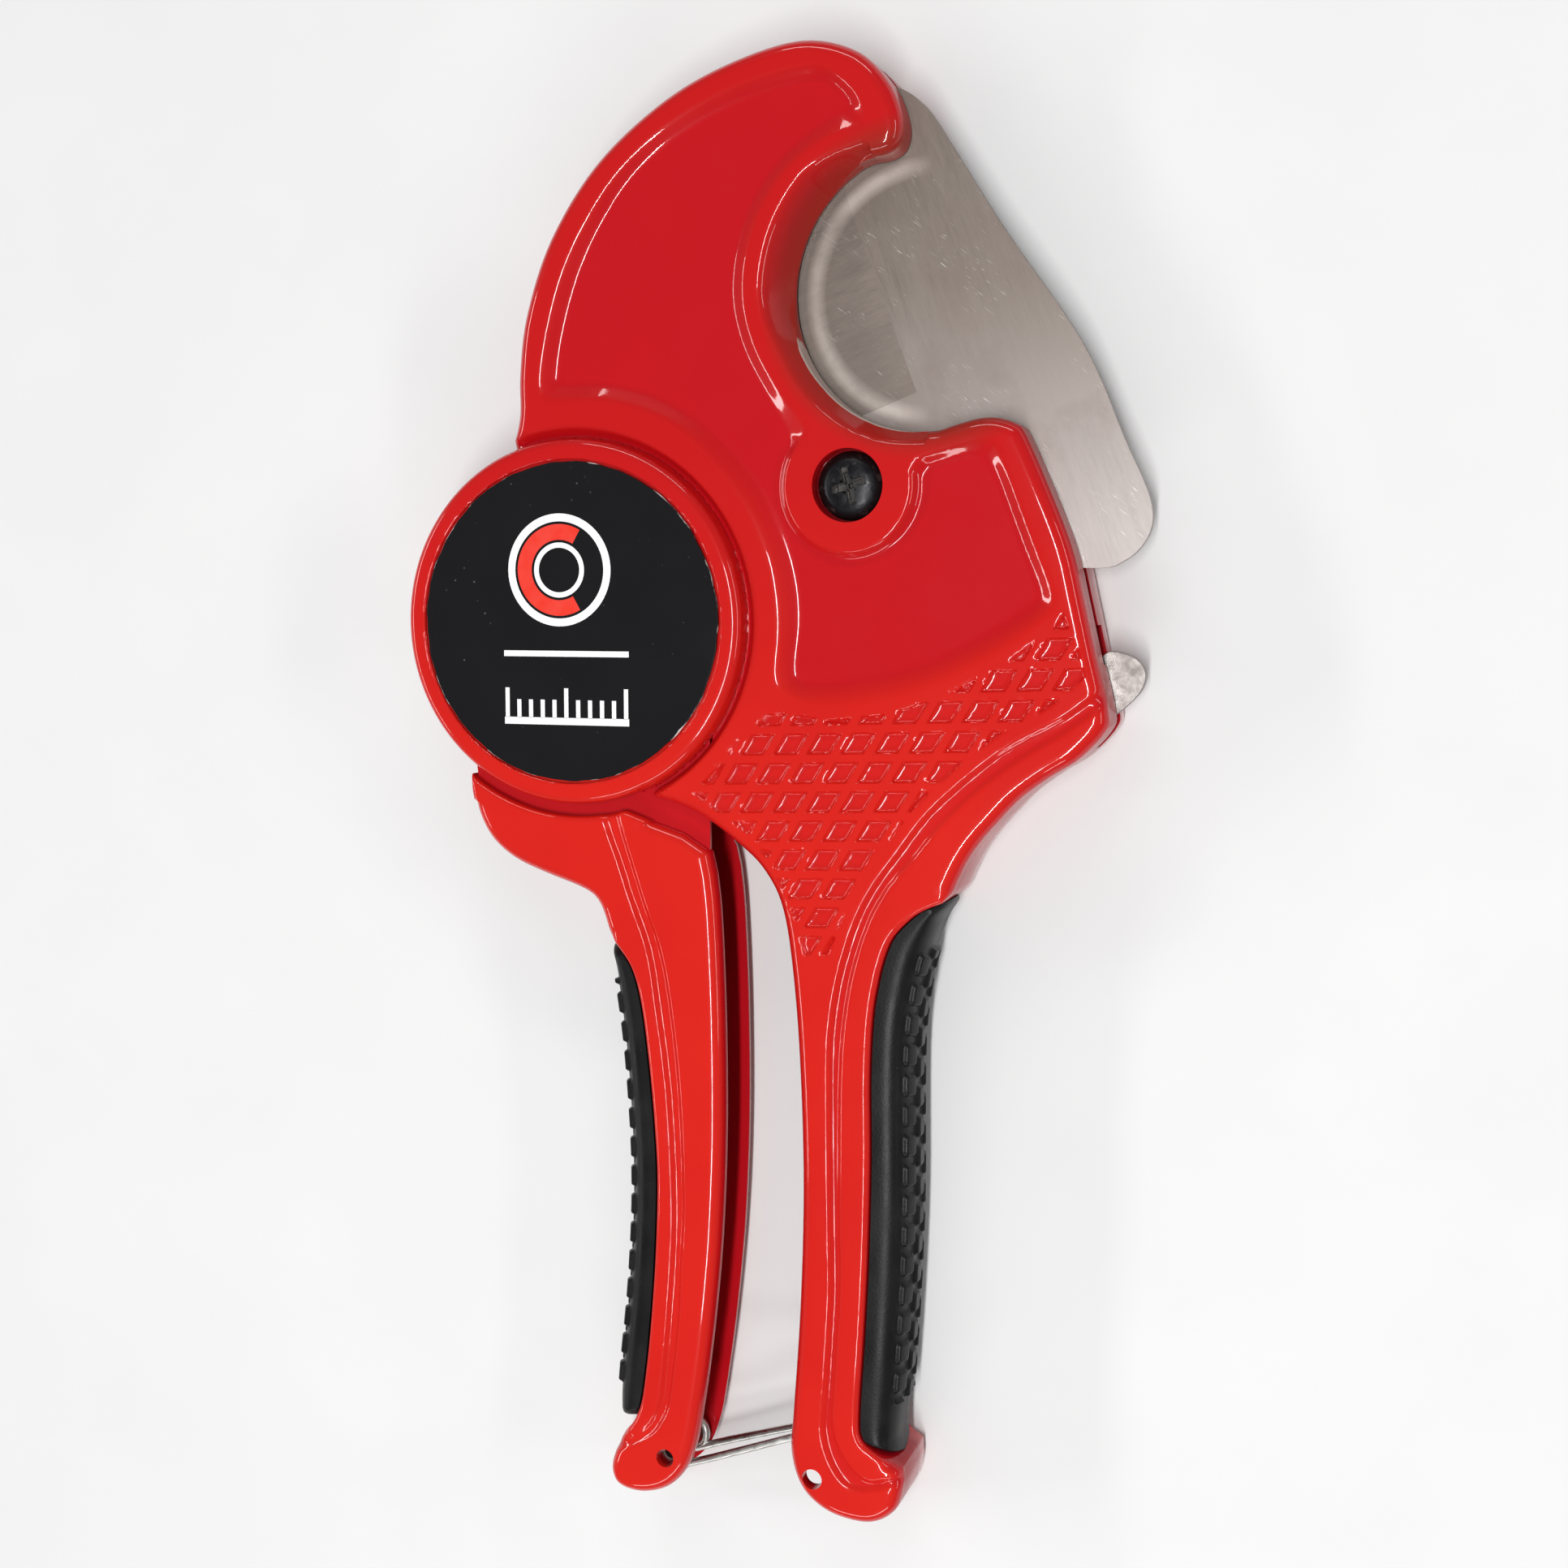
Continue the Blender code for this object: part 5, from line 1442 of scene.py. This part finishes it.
MATERIALS = {
    "paint": paint_look("red_enamel", True),
    "handle_paint": paint_look("red_enamel_handle", False),
    "rubber": rubber_look(),
    # Each steel look's last colour is the painted brighter reflection towards its heel.
    "blade": steel_look("ground_blade", BEVEL_ANGLE - 90.0, (0.250, 0.212, 0.186), (0.192, 0.160, 0.138),
                        (0.215, 0.165, 0.150), (0.40, 0.365, 0.352)),
    "facet": steel_look("ground_facet", BEVEL_ANGLE, (0.270, 0.228, 0.202), (0.206, 0.172, 0.152),
                        (0.230, 0.188, 0.168), (0.25, 0.212, 0.188)),
    "steel": metal_look("tumbled_steel", (0.58, 0.57, 0.55), (0.38, 0.36, 0.34), 0.32),
    "tab": metal_look("tab_steel", (0.31, 0.285, 0.272), (0.27, 0.246, 0.232), 0.5),
    "oxide": oxide_look(),
    "bronze": metal_look("bronze_bushing", (0.55, 0.36, 0.16), (0.36, 0.22, 0.09), 0.4),
    "film": film_look(),
    "white_ink": ink_look("white_ink", (0.78, 0.78, 0.78)),
    "red_ink": ink_look("red_ink", (0.70, 0.03, 0.015)),
}


# ---------------------------------------------------------------- assembly

def place_piece(obj, look, body, node=None):
    """Gives a piece its material, if it has none, and its body, and hides the CAD node it stands for."""
    if not obj.data.materials:
        obj.data.materials.append(MATERIALS[look])
    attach(obj, body)
    if node:
        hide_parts(node)


def carry_over(node, look):
    """Keeps a CAD node's shape and gives it a better material."""
    mesh = frame["nodes"][node].data
    mesh.materials.clear()
    mesh.materials.append(MATERIALS[look])


def assemble():
    place_piece(frame_casting(), "paint", "frame", "frame_casting")
    place_piece(moving_handle(), "handle_paint", "handle", "moving_handle")
    place_piece(fixed_grip(), "rubber", "frame", "fixed_grip")
    place_piece(moving_grip(), "rubber", "handle", "moving_grip")
    place_piece(blade(), "blade", "blade", "blade")
    place_piece(pivot_screw(), "oxide", "frame", "blade_pivot_screw")
    place_piece(pivot_nut(), "oxide", "frame", "blade_pivot_nut")
    place_piece(pivot_pin(), "steel", "frame", "handle_pivot_pin")
    place_piece(retaining_ring(), "steel", "frame", "pin_retaining_ring")
    place_piece(release_lever(), "tab", "lever", "release_lever")
    place_piece(latch_wire(), "steel", "latch", "latch_wire")
    place_piece(hub_label(), "film", "frame", "hub_label")
    for ink, look in zip(label_prints(), ("white_ink", "red_ink")):
        place_piece(ink, look, "frame")
    for node in (
        "ratchet_plate", "ratchet_rivet_left", "ratchet_rivet_right", "drive_pawl",
        "drive_pawl_pin", "drive_pawl_spring", "handle_return_spring", "release_lever_pin",
        "release_lever_spring", "blade_pivot_washer", "latch_spacer",
    ):
        carry_over(node, "steel")
    carry_over("blade_bushing", "bronze")


# ---------------------------------------------------------------- stage

VIEW_DIRECTION = Vector((0.3241, 0.0958, 0.9412))
VIEW_RIGHT = Vector((0.9455, 0.0, -0.3256))
VIEW_DISTANCE = 0.310
VIEW_TARGET = Vector((0.002078, 0.002284, 0.0086))
FOCAL_LENGTH = 46.397
LIGHT_DISTANCE = 0.8
WORLD_STRENGTH = 0.20
FLOOR_GAP = 0.05
FLOOR_SIDE = 3000.0
LIGHTS = (
    ("overhead_strip", (0.14, -0.14, 0.98), (0.05, 0.6), 5.6),
    ("right_box", (0.80, 0.10, 0.42), (0.06, 0.6), 1.1),
    ("top_box", (0.0, 0.85, 0.45), (0.6, 0.06), 1.5),
    ("left_box", (-0.85, 0.0, 0.40), (0.06, 0.6), 2.0),
    ("bottom_box", (0.0, -0.85, 0.45), (0.6, 0.06), 1.5),
)


def hold(name, data, distance, back, right):
    """Sets a camera or a light at a distance from the object, looking at it."""
    holder = bpy.data.objects.new(name, data)
    bpy.context.scene.collection.objects.link(holder)
    turn = Matrix((right, back.cross(right), back)).transposed().to_4x4()
    holder.matrix_world = Matrix.Translation(VIEW_TARGET + back * distance) @ turn
    return holder


def add_camera():
    camera = bpy.data.cameras.new("camera")
    camera.lens = FOCAL_LENGTH
    camera.sensor_width = 36.0
    camera.clip_start = 0.01
    camera.clip_end = 10.0
    back = VIEW_DIRECTION.normalized()
    right = (VIEW_RIGHT - back * VIEW_RIGHT.dot(back)).normalized()
    bpy.context.scene.camera = hold("camera", camera, VIEW_DISTANCE, back, right)


def add_light(name, direction, size, power):
    """A soft box that faces the object."""
    lamp = bpy.data.lights.new(name, "AREA")
    lamp.shape = "RECTANGLE"
    lamp.size, lamp.size_y = size
    lamp.energy = power
    back = Vector(direction).normalized()
    right = Vector((0.0, 1.0, 0.0)).cross(back).normalized()
    hold(name, lamp, LIGHT_DISTANCE, back, right)


def add_stage():
    spots = [(x, y, BACK - FLOOR_GAP) for x, y in rectangle(0.0, 0.0, FLOOR_SIDE, FLOOR_SIDE)]
    floor = add_mesh("pale_floor", spots, [[0, 1, 2, 3]])
    floor.data.materials.append(floor_look())
    floor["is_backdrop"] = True
    world = bpy.data.worlds.new("studio")
    world.use_nodes = True
    background = world.node_tree.nodes["Background"]
    background.inputs["Color"].default_value = (1.0, 1.0, 1.0, 1.0)
    background.inputs["Strength"].default_value = WORLD_STRENGTH
    bpy.context.scene.world = world
    for light in LIGHTS:
        add_light(*light)
    bpy.context.scene.view_settings.view_transform = "Standard"


assemble()
add_camera()
add_stage()


def corners(box):
    return [[float(value) for value in corner] for corner in box]


{"cad": corners(CAD_BOX), "visual": corners(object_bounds())}
